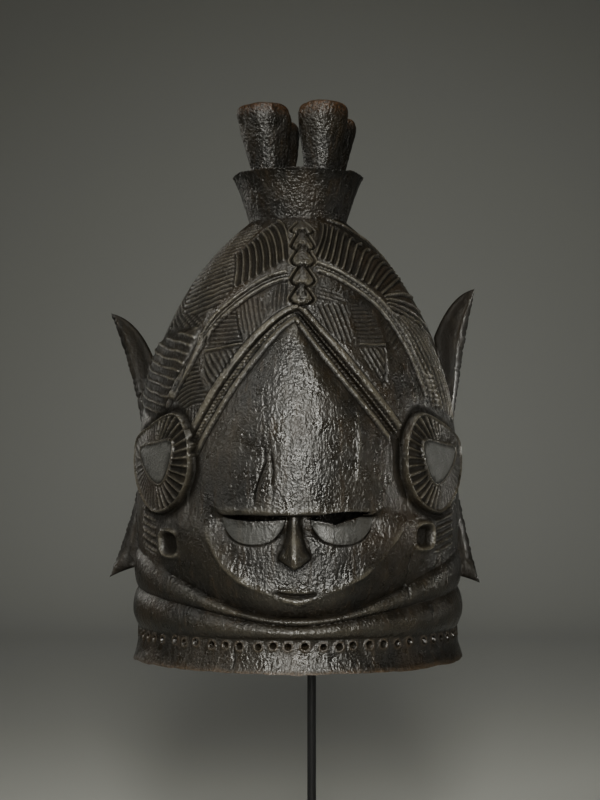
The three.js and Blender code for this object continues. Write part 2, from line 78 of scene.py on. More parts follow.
# Long locks behind: their depth in mm, and how far they and the lines combed into them lie apart in degrees
LOCK_DEPTH = 1.4
LOCK_PITCH = 22.5
COMB_PITCH = 3.75

# Lashing holes, plate and rod, in mm
HOLES = 64
HOLE_LEVEL = 19.5
PLATE_WIDTH = 200.0
PLATE_THICKNESS = 10.0
PLATE_CORNER = 5.0
SOCKET_DEPTH = 7.0
ROD_RADIUS = 3.2
REST_DISC_RADIUS = 15.0
FIT_GAP = 0.3

TRIANGLE_LIMIT = 194000

# Camera at the photograph's angle: metres, and the lens and its shift for an 800 pixel high picture
CAMERA_PLACE = (-0.0085, -1.208, 0.305)
CAMERA_LENS = 74.5
CAMERA_SHIFT = 57 / 800

# Sweep of floor and wall, in metres
FLOOR_FRONT = -4.0
CURVE_START = 1.6
CURVE_RADIUS = 0.9
WALL_TOP = 5.0
SWEEP_HALF_WIDTH = 6.0
SWEEP_DROP = 0.0002
SWEEP_COLOUR = (0.50, 0.51, 0.48)

LAMP_COLOUR = (1.0, 0.985, 0.91)
ROOM_COLOUR = (0.85, 0.84, 0.78, 1)
ROOM_STRENGTH = 0.022


def ramp(x, low, high):
    """Smooth step from 0 at low to 1 at high."""
    t = np.clip((x - low) / (high - low), 0, 1)
    return t * t * (3 - 2 * t)


def lerp(a, b, t):
    return a + (b - a) * t


def bell(x, width):
    """1 at 0, falling softly to both sides."""
    return np.exp(-((x / width) ** 2))


def stripes(phase, width):
    """A soft line in the middle of each whole step of phase."""
    return bell(phase - np.floor(phase) - 0.5, width)


def share_along(px, py, ux, uy):
    """Share of the step (ux, uy) at which it comes nearest to each place (px, py)."""
    return np.clip((px * ux + py * uy) / np.maximum(ux * ux + uy * uy, 1e-9), 0, 1)


def body_radius(h):
    """Radius of the plain body at height h over the rim."""
    t = np.clip((h - DOME_START) / DOME_RISE, 0, 1)
    return BODY_RADIUS * (1 - t ** 3.1) ** 0.83


def front_pull(a, power):
    """1 straight ahead, falling to 0 at the sides and behind."""
    turn = (np.hypot(np.sin(a * RAD), 0.15) - 0.15) / (math.hypot(1, 0.15) - 0.15)
    return np.where(np.abs(a) > 90, 0, 1 - turn ** power)


def hairline_angle(a, h):
    """Angle at which the hairline stands at height h, on the side that a is on."""
    fall = np.clip((HAIRLINE_TOP - h) / HAIRLINE_DROP, 0, 1)
    left, right = (reach * fall ** bend for reach, bend in (LEFT_HAIRLINE, RIGHT_HAIRLINE))
    return np.minimum(np.where(np.asarray(a) < 0, left, right), HAIRLINE_REACH)


def hairline_line(side, low, count=26):
    """Places along one side of the hairline, from its top down to the height low."""
    heights = HAIRLINE_TOP - (HAIRLINE_TOP - low) * np.linspace(0, 1, count) ** 1.3
    return [(side * float(hairline_angle(side, h)), float(h)) for h in heights]


def jaw_line(a):
    """Height of the face's lower edge."""
    return lerp(JAW_FRONT, JAW_SIDE, 1 - np.exp(-((np.abs(a) / JAW_TURN) ** 3.2)))


def smooth_line(points, pieces=5):
    """A rounded line through the places given."""
    p = np.array(points, dtype=float)
    p = np.vstack([2 * p[0] - p[1], p, 2 * p[-1] - p[-2]])
    out = []
    for k in range(1, len(p) - 2):
        for t in np.arange(pieces) / pieces:
            a = 2 * p[k]
            b = (p[k + 1] - p[k - 1]) * t
            c = (2 * p[k - 1] - 5 * p[k] + 4 * p[k + 1] - p[k + 2]) * t * t
            d = (3 * p[k] - p[k - 1] - 3 * p[k + 1] + p[k + 2]) * t ** 3
            out.append(tuple((a + b + c + d) / 2))
    return out + [tuple(p[-2])]


def between(first, last, count):
    """Lines that pass in even steps from one line to another."""
    shares = [k / (count - 1) for k in range(count)]
    return [[(lerp(a, c, t), lerp(b, d, t)) for (a, b), (c, d) in zip(first, last)] for t in shares]


def closed_line(points, pieces=6):
    """A rounded closed line through the places given."""
    ring = list(points)
    line = smooth_line([ring[-1]] + ring + ring[:2], pieces)
    return line[pieces:-pieces]


def lattice_noise(x, y, cell, seed, wrap):
    """Soft bumps between -1 and 1, about one every cell mm."""
    columns = max(int(round(wrap / cell)), 2)
    values = np.random.default_rng(seed).uniform(-1, 1, (800, columns))
    u = x / wrap * columns
    v = y / cell + 400
    iu = np.floor(u).astype(int)
    iv = np.floor(v).astype(int)
    fu = ramp(u - iu, 0, 1)
    fv = ramp(v - iv, 0, 1)
    near, far = iu % columns, (iu + 1) % columns
    low = lerp(values[iv, near], values[iv, far], fu)
    high = lerp(values[iv + 1, near], values[iv + 1, far], fu)
    return lerp(low, high, fv)


def rim_noise(turn, cell, seed):
    """Soft bumps round a rim, about one every cell degrees."""
    return lattice_noise(turn, 0 * turn, cell, seed, 360)


# The base form of the mask, the same as the solid's

def roll_relief(h, low, high, depth, bulge):
    t = np.clip((h - low) / (high - low), 0, 1)
    return -depth + (depth + bulge) * np.maximum(np.sin(np.pi * t), 0) ** 0.7


def lower_face_relief(a, h, front):
    jaw = jaw_line(a)
    level = (h - jaw) / (BROW - jaw)
    under = 1 - ramp(np.abs(a), 24, 34)
    return 2.4 * front * np.cos(0.9 * level) - EYE_HOLLOW * under * ramp(h, 86, 103)


def forehead_relief(a, h):
    arch = hairline_angle(a, h)
    inside = ramp((arch - np.abs(a)) / lerp(7, 16, ramp(h, HAIRLINE_TOP, 180)), 0, 1)
    side = body_radius(h) * np.sin(a * RAD)
    keel = KEEL * (0.35 + 0.65 * bell(side, 30))
    edge = np.where(np.abs(a) < arch, -1.6, 0)
    return np.where(h > HAIRLINE_TOP, 0, lerp(edge, keel, inside))


def base_relief(a, h):
    """How far the large forms stand out from the plain body, in mm."""
    front = 1 - ramp(np.abs(a), 34, 62)
    depth = 1.3 + 2.2 * front
    mid = CREASE_MID - CREASE_MID_DROP * front_pull(a, 1.1)
    top = CREASE_TOP - CREASE_TOP_DROP * front_pull(a, 1.5)
    jaw = jaw_line(a)
    hem = RIM_FLARE * np.clip(1 - h / CREASE_LOW, 0, 1) ** 2 - depth
    low_roll = roll_relief(h, CREASE_LOW, mid, depth, 2.6 - 1.6 * front)
    high_roll = roll_relief(h, mid, top, depth, 1.8 - 1.8 * front)
    rise = np.clip((h - top) / np.maximum(jaw - top, 1), 0, 1)
    chin = lerp(-depth - 3 * front, 2.4 * front, np.sin(np.pi / 2 * rise))
    soft = ramp(np.abs(a), 24, 33)
    over = ramp(h, lerp(BROW - 0.4, 97, soft), lerp(BROW + 0.9, 121, soft))
    face = lerp(lower_face_relief(a, h, front), forehead_relief(a, h), over)
    return np.select([h < CREASE_LOW, h < mid, h < top, h < jaw], [hem, low_roll, high_roll, chin], face)


class Chart:
    """The skin of the mask laid out flat, with the carving as heights in mm."""

    def __init__(self):
        fine, coarse = ((0.3, 1.25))
        front = np.arange(-99, 99 + fine / 2, fine)
        back = np.arange(99 + coarse, 261 - coarse / 2, coarse)
        self.angles = np.concatenate([front, back])
        self.front = len(front)
        self.heights = self.even_heights(0.55)
        a, self.h = np.meshgrid(self.angles, self.heights)
        self.a = np.where(a > 180, a - 360, a)
        self.radius = body_radius(self.h)
        slant = np.sqrt(1 + np.gradient(body_radius(self.heights), self.heights) ** 2)
        self.slant = np.broadcast_to(slant[:, None], self.h.shape)
        self.wander = self.noise(9, 5)
        self.base = base_relief(self.a, self.h)
        self.fine = np.zeros_like(self.h)
        # Marks for the material, from 0 to 1: one darkens cuts and hollows as painted shade with some
        # settled dirt, and crest lightens ridges as worn wood with painted highlights.
        self.dust, self.pale, self.brown, self.crest = (np.zeros_like(self.h) for _ in range(4))

    def noise(self, cell, seed, stretch=1.0):
        """Soft bumps all over the skin, about cell mm apart, or stretch times that upwards."""
        wrap = 2 * np.pi * BODY_RADIUS
        return lattice_noise(self.a * RAD * BODY_RADIUS, self.h / stretch, cell, seed, wrap)

    def x(self, here):
        """Millimetres to the right of the middle, as seen from the front."""
        return self.radius[here] * np.sin(self.a[here] * RAD)

    def raise_to(self, name, here, values):
        """Lifts one layer of marks to the values given, where it is lower."""
        layer = getattr(self, name)
        layer[here] = np.maximum(layer[here], values)

    @staticmethod
    def even_heights(step):
        h = np.linspace(0, DOME_TOP, 6000)
        run = np.concatenate([[0], np.cumsum(np.hypot(np.diff(h), np.diff(body_radius(h))))])
        return np.interp(np.linspace(0, run[-1], int(run[-1] / step)), run, h)

    def patch(self, points, margin):
        """Rows and columns within margin mm of some places on the front."""
        a = [p[0] for p in points]
        h = [p[1] for p in points]
        reach = margin / (RAD * float(body_radius(min(max(h) + margin, 312))))
        angles = self.angles[: self.front]
        columns = np.flatnonzero((angles >= min(a) - reach) & (angles <= max(a) + reach))
        rows = np.flatnonzero((self.heights >= min(h) - margin) & (self.heights <= max(h) + margin))
        return slice(rows[0], rows[-1] + 1), slice(columns[0], columns[-1] + 1)

    def offsets(self, here, a, h):
        """Millimetres across and up from one place, all over a patch."""
        across = (self.a[here] - a) * RAD * self.radius[here]
        return across, (self.h[here] - h) * self.slant[here]

    def step(self, here, a0, h0, a1, h1):
        """For one straight step of a line: places from its start, the step itself, and shares of it."""
        px, py = self.offsets(here, a0, h0)
        ux = (a1 - a0) * RAD * self.radius[here]
        uy = (h1 - h0) * self.slant[here]
        return px, py, ux, uy, share_along(px, py, ux, uy)

    def line(self, points, margin):
        """The patch round a line, with the signed distance from it, the run along it and its length."""
        here = self.patch(points, margin)
        shape = self.h[here].shape
        distance = np.full(shape, 1e3)
        signed = np.full(shape, 1e3)
        run = np.zeros(shape)
        start = 0.0
        for (a0, h0), (a1, h1) in zip(points, points[1:]):
            px, py, ux, uy, t = self.step(here, a0, h0, a1, h1)
            dx, dy = px - t * ux, py - t * uy
            d = np.hypot(dx, dy)
            length = np.hypot(ux, uy)
            closer = d < distance
            distance = np.where(closer, d, distance)
            signed = np.where(closer, np.sign(ux * py - uy * px) * d, signed)
            run = np.where(closer, start + t * length, run)
            middle = float(body_radius((h0 + h1) / 2))
            start += math.hypot((a1 - a0) * RAD * middle, h1 - h0)
        return here, signed, run, start

    def inside(self, here, outline, soft):
        """1 inside a closed outline, falling to 0 at its edge over soft mm."""
        a, h = self.a[here], self.h[here]
        odd = np.zeros(a.shape, bool)
        near = np.full(a.shape, 1e3)
        for (a0, h0), (a1, h1) in zip(outline, outline[1:] + outline[:1]):
            crosses = (h0 > h) != (h1 > h)
            odd ^= crosses & (a < a0 + (h - h0) * (a1 - a0) / ((h1 - h0) or 1e-9))
            px, py, ux, uy, t = self.step(here, a0, h0, a1, h1)
            near = np.minimum(near, np.hypot(px - t * ux, py - t * uy))
        return np.where(odd, ramp(near, 0, soft), 0)

    # Strokes of the carver

    def cord(self, points, half, height, gap=0.0, shift=0.0, notch=None, turn=0.0, flat=2, sharp=0.2,
             moat=0.8, pinch=None):
        """A raised cord along a line. notch is the pitch of its cross cuts and turn their slant.

        Near the run called pinch it draws in, with its distance from the line.
        """
        here, d, run, length = self.line(points, abs(shift) + half + 3.2 * moat)
        if pinch is not None:
            d = d / lerp(0.74, 1, ramp(np.abs(run - pinch), 0, 50))
        d = d - shift
        ends = ramp(run, 0, 3) * ramp(length - run, 0, 3)
        body = np.sqrt(np.clip(1 - (np.abs(d) / half) ** flat, 0, 1)) * height
        if notch:
            cut = (run + turn * d) / notch + 0.12 * self.wander[here]
            depth = stripes(cut, sharp)
            body = body * (1 - 0.75 * depth)
        groove = bell(np.abs(d) - half - 0.6 * moat, moat)
        self.fine[here] += (body - gap * groove) * ends
        # The groove beside the cord is painted dark as shade.
        self.raise_to("dust", here, groove * ends * min(gap, 1))

    def bowed_rib(self, foot, head, bow_a, bow_h, half, height):
        """A thin rib from foot to head that bows out in between."""
        stops = []
        for t in (0, 0.25, 0.5, 0.75, 1):
            bow = math.sin(math.pi * t) ** 0.8 if 0 < t < 1 else 0
            a, h = lerp(foot[0], head[0], t), lerp(foot[1], head[1], t)
            stops.append((a + bow * bow_a, h + bow * bow_h))
        self.cord(smooth_line(stops, 3), half, height, gap=0.9, moat=1.3)

    def gouge(self, points, half, depth):
        """One cut that runs out at both ends."""
        here, d, run, length = self.line(points, half * 3)
        ends = ramp(run, 0, 4) * ramp(length - run, 0, 4)
        cut = bell(d, half) * ends
        self.fine[here] -= depth * cut
        # The cut is painted dark as shade.
        self.raise_to("dust", here, cut)

    def hatch(self, outline, pitch, turn, depth, bow=0.0, sharp=0.31, land=0.3):
        """Side by side cuts inside an outline. turn is their slant from level, in degrees."""
        here = self.patch(outline, 2)
        middle = np.mean(np.array(outline), axis=0)
        x, y = self.offsets(here, *middle)
        along = x * math.cos(turn * RAD) + y * math.sin(turn * RAD)
        across = y * math.cos(turn * RAD) - x * math.sin(turn * RAD)
        self.cuts(here, (across + bow * along ** 2) / pitch, outline, depth, sharp, land)

    def rings(self, outline, centre, pitch, depth, sharp=0.31, land=0.3):
        """Cuts round one place, pitch mm apart."""
        here = self.patch(outline, 2)
        x, y = self.offsets(here, *centre)
        self.cuts(here, np.hypot(x, y) / pitch, outline, depth, sharp, land)

    def cuts(self, here, phase, outline, depth, sharp, land):
        mask = self.inside(here, outline, 1.2)
        phase = phase + 0.16 * self.wander[here]
        cut = stripes(phase, sharp)
        self.fine[here] += (land - 1.15 * depth * cut * (0.8 + 0.2 * self.wander[here])) * mask
        # The cuts are painted dark as shade.
        self.raise_to("dust", here, 0.8 * cut * mask)


# Knots of the braid: angle, then the heights of the tip, the widest place and the foot
KNOTS = [
    (3.6, 311.0, 303.6, 299.5), (3.3, 303.4, 291.2, 286.6), (2.9, 291.4, 280.4, 274.6),
    (2.4, 276.2, 265.6, 260.2), (1.7, 262.4, 252.4, 247.6),
]


def braid(chart):
    """Five knots like pointed leaves, each laid over the next, down the middle of the crown."""
    bed = chart.patch([(-12, 249), (18, 308)], 2)
    x = (chart.a[bed] - 2.8) * RAD * chart.radius[bed]
    clear = (1 - ramp(np.abs(x), 8.5, 11)) * ramp(chart.h[bed], 246, 249)
    chart.fine[bed] *= 1 - clear
    chart.dust[bed] *= 1 - clear
    for a, top, wide, low in KNOTS:
        here = chart.patch([(a, low - 2), (a, top)], 10)
        x = (chart.a[here] - a) * RAD * chart.radius[here]
        h = chart.h[here]
        upper = np.clip((top - h) / (top - wide), 0, 1) ** 0.8
        lower = np.sqrt(np.clip(1 - ((wide - h) / (wide - low)) ** 2, 0, 1))
        share = np.where((h > top) | (h < low), 0, np.where(h > wide, upper, lower))
        half = 7.2 * share
        q = np.clip(np.abs(x) / np.maximum(half, 0.01), 0, 1)
        level = 1.0 + 2.2 * np.clip((top - h) / (top - low), 0, 1)
        leaf = ramp(half - np.abs(x), 0, 0.6) * (share > 0.01)
        gap = bell(np.abs(x) - half - 0.8, 0.8) * (share > 0.02)
        rim = bell(np.abs(x) - half - 2.5, 0.7) * (share > 0.02)
        around = chart.fine[here] - 1.9 * gap + 0.8 * rim
        chart.fine[here] = lerp(around, level * np.sqrt(1 - 0.8 * q * q), leaf)
        for side in (-1, 1):
            nub = np.exp(-(((x - side * 2.4) / 1.3) ** 2) - ((h - low - 3.0) / 1.3) ** 2)
            chart.fine[here] += 1.1 * nub
        # The gap round each knot is painted dark as shade.
        chart.dust[here] = np.maximum(chart.dust[here] * (1 - leaf), gap)
    for side in (-1, 1):
        chart.gouge([(1.7 + 1.7 * side, 259.5), (1.7 + 1.9 * side, 251)], 0.6, 1.5)
    chart.gouge([(-1.8, 251), (5.2, 251)], 0.6, 1.2)


def hairline(chart):
    """The band of cords that frames the forehead."""
    left = hairline_line(-1, 146)
    right = hairline_line(1, 160)
    whole = left[::-1] + [(0.0, 242.6)] + right[1:]
    middle = sum(
        math.hypot((a1 - a0) * RAD * float(body_radius((h0 + h1) / 2)), h1 - h0)
        for (a0, h0), (a1, h1) in zip(left, left[1:])
    )
    chart.cord(whole, 2.9, 1.9, gap=0.9, shift=6.0, flat=4, pinch=middle)
    chart.cord(whole, 2.1, 1.4, gap=0.6, shift=-5.0, flat=3, pinch=middle)
    chart.cord(left, 1.8, 1.2, gap=0.7, notch=2.7, turn=0.9, pinch=0)
    chart.cord(right, 1.5, 1.2, gap=0.7, shift=1.6, notch=2.9, turn=0.8, pinch=0)
    chart.cord(right, 1.5, 1.1, gap=0.4, shift=-1.6, notch=2.9, turn=-0.8, pinch=0)


def arcs(chart):
    """The wider double cords that run over the hair on both sides."""
    right = smooth_line([
        (8, 277.5), (20, 271), (30, 262.5), (38, 252.5), (43.5, 241),
        (47.5, 228), (50.5, 214), (53, 200), (55, 186),
    ])
    chart.cord(right, 1.5, 1.5, gap=0.8, shift=3.3)
    chart.cord(right, 1.2, 1.0, gap=0.5, notch=3.1, turn=0.5)
    chart.cord(right, 1.5, 1.4, gap=0.8, shift=-3.2)
    left = smooth_line([
        (-4, 270), (-13, 266.5), (-21, 260), (-29, 251), (-35, 242), (-39.5, 232), (-41, 224),
    ])
    chart.cord(left, 1.5, 1.5, gap=0.8, shift=-3.2)
    chart.cord(left, 1.1, 0.9, gap=0.5)
    chart.cord(left, 1.5, 1.4, gap=0.8, shift=3.1)
    band = smooth_line([(-40.5, 230), (-43, 217), (-46, 205), (-49.5, 194), (-52, 184)])
    chart.cord(band, 3.6, 2.2, gap=1.2, flat=3)
    chart.cord([(-50.5, 191), (-52.5, 184), (-54.5, 177)], 2.4, 1.8)


def upper_panels(chart):
    """Slanted ribs above the arcs, which run down towards the braid."""
    ribs = 12
    for k in range(ribs):
        t = k / (ribs - 1)
        foot = (lerp(9.5, 43, t), 283.5 - 25.5 * t ** 1.3)
        head = (lerp(27, 82, t), 312 - 38 * t ** 1.5)
        bow = 7 * math.sin(math.pi * 0.85 * t ** 0.8)
        chart.bowed_rib(foot, head, 0, bow, 1.0, 1.6)
    ribs = 9
    for k in range(ribs):
        t = k / (ribs - 1)
        head = (-lerp(24, 44, t ** 0.7), lerp(313, 289, t))
        foot = (-lerp(4.5, 31.5, t), lerp(282.5, 261, t))
        chart.bowed_rib(foot, head, lerp(4, 1.5, t), lerp(6, 3.5, t), 1.0, 1.7)
    shoulder = [
        (-41.5, 292), (-34, 308), (-50, 312), (-74, 306), (-88, 294), (-86, 276), (-72, 262),
        (-62, 246), (-46, 241), (-38, 249), (-33, 260), (-36.5, 277),
    ]
    chart.hatch(shoulder, 4.3, 13, 1.8, bow=-0.003, land=0.6)
    border = smooth_line([(32, 314.5), (56, 309), (78, 296), (90, 279), (96, 262)])
    chart.cord(border, 1.3, 1.2, gap=0.5)


def left_hair(chart):
    """Panels of cuts between the hairline and the left cords."""
    crossed = [
        (-44, 238), (-46, 244), (-62, 247), (-73, 264), (-80, 256), (-76, 238), (-50, 234), (-43, 230),
    ]
    chart.hatch(crossed, 3.2, 38, 1.0)
    chart.hatch(crossed, 3.9, -28, 0.7)
    chart.hatch([(-11, 263), (-4, 264), (-3, 249), (-9, 243), (-14, 247)], 2.9, 92, 1.0)
    chart.hatch([(-27, 249), (-20, 255), (-12, 248), (-14, 236), (-19, 223), (-23, 230)], 3.3, 108, 1.1)
    chart.hatch([(-37, 238), (-28, 246), (-25, 236), (-21, 222), (-38, 218.5)], 3.3, 4, 1.1, bow=-0.004)
    chart.hatch([(-39, 215), (-22, 220), (-25, 206), (-32, 191), (-36, 195)], 3.8, -53, 1.4, land=0.4)
    arcs_below = [(-50, 184), (-47, 197), (-41, 212), (-37, 197), (-33.5, 189), (-35, 181), (-44, 177)]
    chart.rings(arcs_below, (-36, 150), 3.1, 1.2, land=0.3)
    chart.cord([(-39, 217), (-30, 219), (-21, 222)], 1.0, 1.0, gap=0.6)
    chart.gouge([(-28, 247), (-25.5, 236), (-21.5, 222)], 0.8, 0.9)
    chart.hatch([(-38, 180), (-44, 177), (-43, 166), (-38, 166), (-35.5, 176)], 2.7, 88, 0.9)


def left_roll(chart):
    """The ribbed roll that swells out at the left side over the ear medallion."""
    centre = smooth_line([(-70, 232), (-69, 217), (-71, 203), (-73.5, 190), (-75.5, 178)])
    here, d, run, length = chart.line(centre, 50)
    ends = ramp(run, 0, 7) * ramp(length - run, -2, 6)
    width = lerp(44, 35, run / length)
    swell = np.sqrt(np.clip(1 - (d / width) ** 2, 0, 1))
    fall = 0.18 * (chart.a[here] + 70) * RAD * BODY_RADIUS
    phase = (chart.h[here] + fall) / 6.3 + 0.1 * chart.wander[here]
    rib = stripes(phase, 0.13)
    inside = ramp(width - np.abs(d), 0, 3) * ends
    chart.fine[here] += (3.0 * swell ** 0.7 + 1.0 * rib - 0.3) * inside
    chart.raise_to("crest", here, rib * inside)
    moat = bell(d - width - 2.5, 2.6) * ends
    chart.fine[here] -= 1.6 * moat
    # Between the ribs the roll is painted dark as shade.
    chart.raise_to("dust", here, 0.8 * (1 - rib) * inside)


def right_hair(chart):
    """Panels of cuts, a fan of ridges behind the right cords, long strips below it and two beaded cords."""
    chart.hatch([(8, 263), (14, 262), (21, 254), (22, 250), (8, 250)], 3.2, -18, 0.9)
    chart.hatch([(8, 249), (22, 249), (22, 222), (17, 222), (13, 228), (9, 236)], 3.7, 105, 1.2, land=0.3)
    chart.hatch([(23, 248), (28, 252), (34, 243), (36.5, 224), (23.5, 223)], 3.1, 5, 1.0, bow=-0.01)
    chart.hatch([(23.5, 219), (36, 220), (34, 191), (31, 193), (26.5, 205)], 3.8, 115, 1.2, land=0.3)
    chart.hatch([(36.5, 243), (41, 238), (44, 228), (42, 212), (37.5, 222)], 3.4, 42, 0.7)
    chart.cord([(23, 221.5), (30, 221), (37, 222)], 0.9, 0.8, gap=0.6)
    chart.gouge([(35.5, 219), (34, 203), (31.5, 190)], 0.8, 1.0)
    chart.gouge([(43, 196), (44, 196)], 1.3, 1.0)
    top = [(44, 256.5), (54.5, 259), (65, 260.5), (79, 259)]
    bottom = [(44, 249.5), (54.5, 244.5), (65, 237), (73, 226)]
    for line in between(top, bottom, 4):
        chart.cord(smooth_line(line, 4), 1.3, 1.7, gap=0.7)
    near = [(44.5, 246), (50, 235), (54, 221), (57.5, 205), (59.5, 190), (60.5, 178)]
    far = [(61, 242), (67, 231), (72, 217), (76, 200), (78, 185), (78, 171)]
    for line in between(near, far, 6):
        chart.cord(smooth_line(line, 4), 1.2, 1.3, gap=0.6)
    for a in (0, 3.4):
        beads = [(54.2 + a, 204), (56.2 + a, 191), (57.2 + a, 178)]
        chart.cord(smooth_line(beads), 1.5, 1.9, gap=0.5, notch=3.5)


def side_hair(chart):
    """Plainer cuts where the hair turns to the back."""
    chart.hatch([(86, 290), (98.5, 286), (98.5, 262), (88, 262)], 3.4, 40, 0.9)
    chart.hatch([(94, 240), (98.5, 240), (98.5, 176), (96, 176)], 3.6, 70, 0.8)
    chart.hatch([(-98.5, 290), (-86, 290), (-84, 262), (-98.5, 256)], 3.4, 10, 0.9)


def flat_distance(s, t, outline):
    """Signed distance from a closed flat outline, positive inside."""
    odd = np.zeros(s.shape, bool)
    near = np.full(s.shape, 1e3)
    for (s0, t0), (s1, t1) in zip(outline, outline[1:] + outline[:1]):
        crosses = (t0 > t) != (t1 > t)
        odd ^= crosses & (s < s0 + (t - t0) * (s1 - s0) / ((t1 - t0) or 1e-9))
        us, ut = s1 - s0, t1 - t0
        k = share_along(s - s0, t - t0, us, ut)
        near = np.minimum(near, np.hypot(s - s0 - k * us, t - t0 - k * ut))
    return np.where(odd, near, -near)


# Ear medallions: their middle in degrees and mm, and flat outlines with s towards the face and t upwards
MEDALLION_ANGLE = 59.5
MEDALLION_HEIGHT = 141.5
MEDALLION_EDGE = [
    (44, 4), (40, 21), (25, 34), (-6, 26), (-38, 16), (-43, 3),
    (-28, -14), (-4, -31), (14, -35), (33, -27), (43, -11),
]
HEART_EDGE = [(26, 13.5), (4, 12.5), (-20, 9), (-9, -4), (12, -15), (23, -6)]


def medallion(chart, side):
    """A raised ear plate with a rim, rays and a smooth heart."""
    here = chart.patch([(side * 32, 104), (side * 80, 178)], 12)
    s = 120 * np.sin((MEDALLION_ANGLE - np.abs(chart.a[here])) * RAD)
    t = chart.h[here] - MEDALLION_HEIGHT
    edge = flat_distance(s, t, closed_line(MEDALLION_EDGE))
    heart = flat_distance(s, t, closed_line(HEART_EDGE))
    plate = ramp(edge, -0.5, 0.6)
    core = ramp(heart, -0.3, 0.5)
    turn = np.arctan2(t, s - 4) / RAD
    phase = turn / 9.4 + 0.10 * chart.wander[here]
    ray = stripes(phase, 0.15)
    strong = 0.25 + 0.75 * ramp(np.cos((turn - 8) * RAD), -0.1, 0.5)
    field = ramp(edge, 2.2, 3.0) * ramp(-heart, 1.4, 2.2)
    rim = bell(edge - 1.1, 0.6)
    outline = bell(heart + 0.7, 0.6)
    wall = ramp(-edge, 0.0, 0.8) * ramp(-edge, 6.5, 4.5)
    lift = 3.0 + 1.2 * rim + 1.1 * outline + field * strong * (1.9 * ray - 0.9)
    lift = lerp(lift, 3.6 + 0.5 * ramp(heart, 0, 9), core)
    trench = bell(edge + 1.5, 1.2) * (1 - plate)
    chart.base[here] = lerp(chart.base[here], lift, plate) - 1.0 * trench
    chart.fine[here] *= 1 - plate
    # The gaps between the rays, the groove round the heart, the trench round the plate and the skin just
    # outside it are painted dark as shade and shadow.
    gaps = field * (1 - ray) * (0.3 + 0.7 * strong) + bell(heart - 0.5, 0.5)
    gaps = gaps + trench + wall
    # The rim, the heart's outline and the rays are marked lighter, as worn wood with painted highlights.
    lines = np.maximum(np.maximum(rim, 0.8 * outline), field * strong * ray)
    chart.crest[here] = np.maximum(chart.crest[here] * (1 - plate), lines)
    chart.dust[here] = np.maximum(chart.dust[here] * (1 - plate), np.clip(gaps, 0, 1))
    chart.raise_to("pale", here, core)


def ear(chart, side, a, h):
    """A small squarish bowl with a thick rim, open towards the face, under each medallion."""
    here = chart.patch([(side * a, h)], 17)
    x, y = chart.offsets(here, side * a, h)
    q = ((np.abs(x) / 10.8) ** 3 + (np.abs(y) / 9.6) ** 3) ** (1 / 3)
    ring = bell(q - 0.93, 0.13)
    opening = ramp(-side * x, 5.5, 9.5) * (1 - ramp(np.abs(y), 5.5, 9))
    bowl = 1 - ramp(q, 0.45, 0.9)
    chart.fine[here] += 2.4 * ring * (1 - opening) - 2.8 * bowl
    # The bowl is painted dark as shade.
    chart.raise_to("dust", here, bowl)


def dotted_rows(chart):
    """Short rows of dashes under the medallions, which rise a little towards the back."""
    for side in (-1, 1):
        for k in range(6):
            near = (side * (53.5 + (3 if side < 0 else 0)), 106 - 5.4 * k)
            far = (side * 69, 110 - 5.0 * k)
            chart.cord([near, far], 1.2, 1.2, gap=0.5, notch=6.2, sharp=0.15)


def place_x(x, h):
    """Angle at which the front of the body stands at x mm."""
    return math.degrees(math.asin(x / float(body_radius(h))))


def eyelid(chart, side):
    """A heavy lowered lid: a smooth half-moon with a cut round its lower edge."""
    here = chart.patch([(side * 2, 84), (side * 28, 108)], 5)
    x = chart.x(here) - side * 29.3
    h = chart.h[here]
    drop = 104.2 - 17.6 * np.clip(1 - (x / 21.2) ** 2, 0, 1) ** 0.5
    over = np.where(np.abs(x) < 21.2, h - drop, -9)
    lid = ramp(over, -0.2, 1.6) * (1 - ramp(h, 104.6, 105.4))
    lift = 1.9 - 0.10 * (h - 88) - 0.0025 * x ** 2
    chart.base[here] = lerp(chart.base[here], lift, lid)
    trench = bell(over + 0.5, 0.75)
    chart.fine[here] -= 1.2 * trench
    # The cut round the lid is painted dark as shade.
    chart.raise_to("dust", here, trench)
    chart.raise_to("pale", here, 0.7 * lid)


def nose(chart):
    """A thin bridge with a flat ridge, which widens to the wings and ends below in a V."""
    here = chart.patch([(-13, 68), (13, 108)], 4)
    h = chart.h[here]
    x = chart.x(here) + 2.0 + 0.006 * (h - 72)
    half = np.interp(h, [70, 74, 78, 81, 85, 91, 98, 106], [8.5, 10.4, 10.8, 9.4, 7.6, 5.8, 5.2, 5.0])
    height = np.interp(h, [70, 74, 78, 84, 92, 100, 106], [12.5, 14.6, 14.8, 13.2, 11.0, 9.2, 8.4])
    q = np.clip((np.abs(x) - 1.35) / (half - 1.35), 0, 1)
    body = (1 - q) ** 0.8 * (0.66 + 0.34 * (1 - q)) * height * (1 - ramp(h, 105.2, 107.2))
    wing = np.exp(-(((np.abs(x) - 7.6) / 2.2) ** 2) - ((h - 77.5 - 0.35 * np.abs(x)) / 2.8) ** 2)
    cut = ramp(h - 71.2 - 0.62 * np.abs(x), -0.7, 0.5)
    chart.base[here] += (body + 2.6 * wing) * cut
    # The sides of the nose and the place under it are painted dark as shade.
    near = bell(np.abs(x) - half, 1.2) * ramp(h, 74, 78) * (h < 100)
    below = bell(h - 70.9 - 0.62 * np.abs(x), 1.0) * (np.abs(x) < 10.5)
    chart.raise_to("dust", here, np.maximum(near, below))
    # The flat ridge and the lower edge of the tip are marked lighter as painted highlights.
    tip = bell(h - 72.4 - 0.62 * np.abs(x), 0.8) * (np.abs(x) < 8)
    chart.raise_to("crest", here, np.maximum((np.abs(x) < 1.5) * cut * (h < 104), tip))


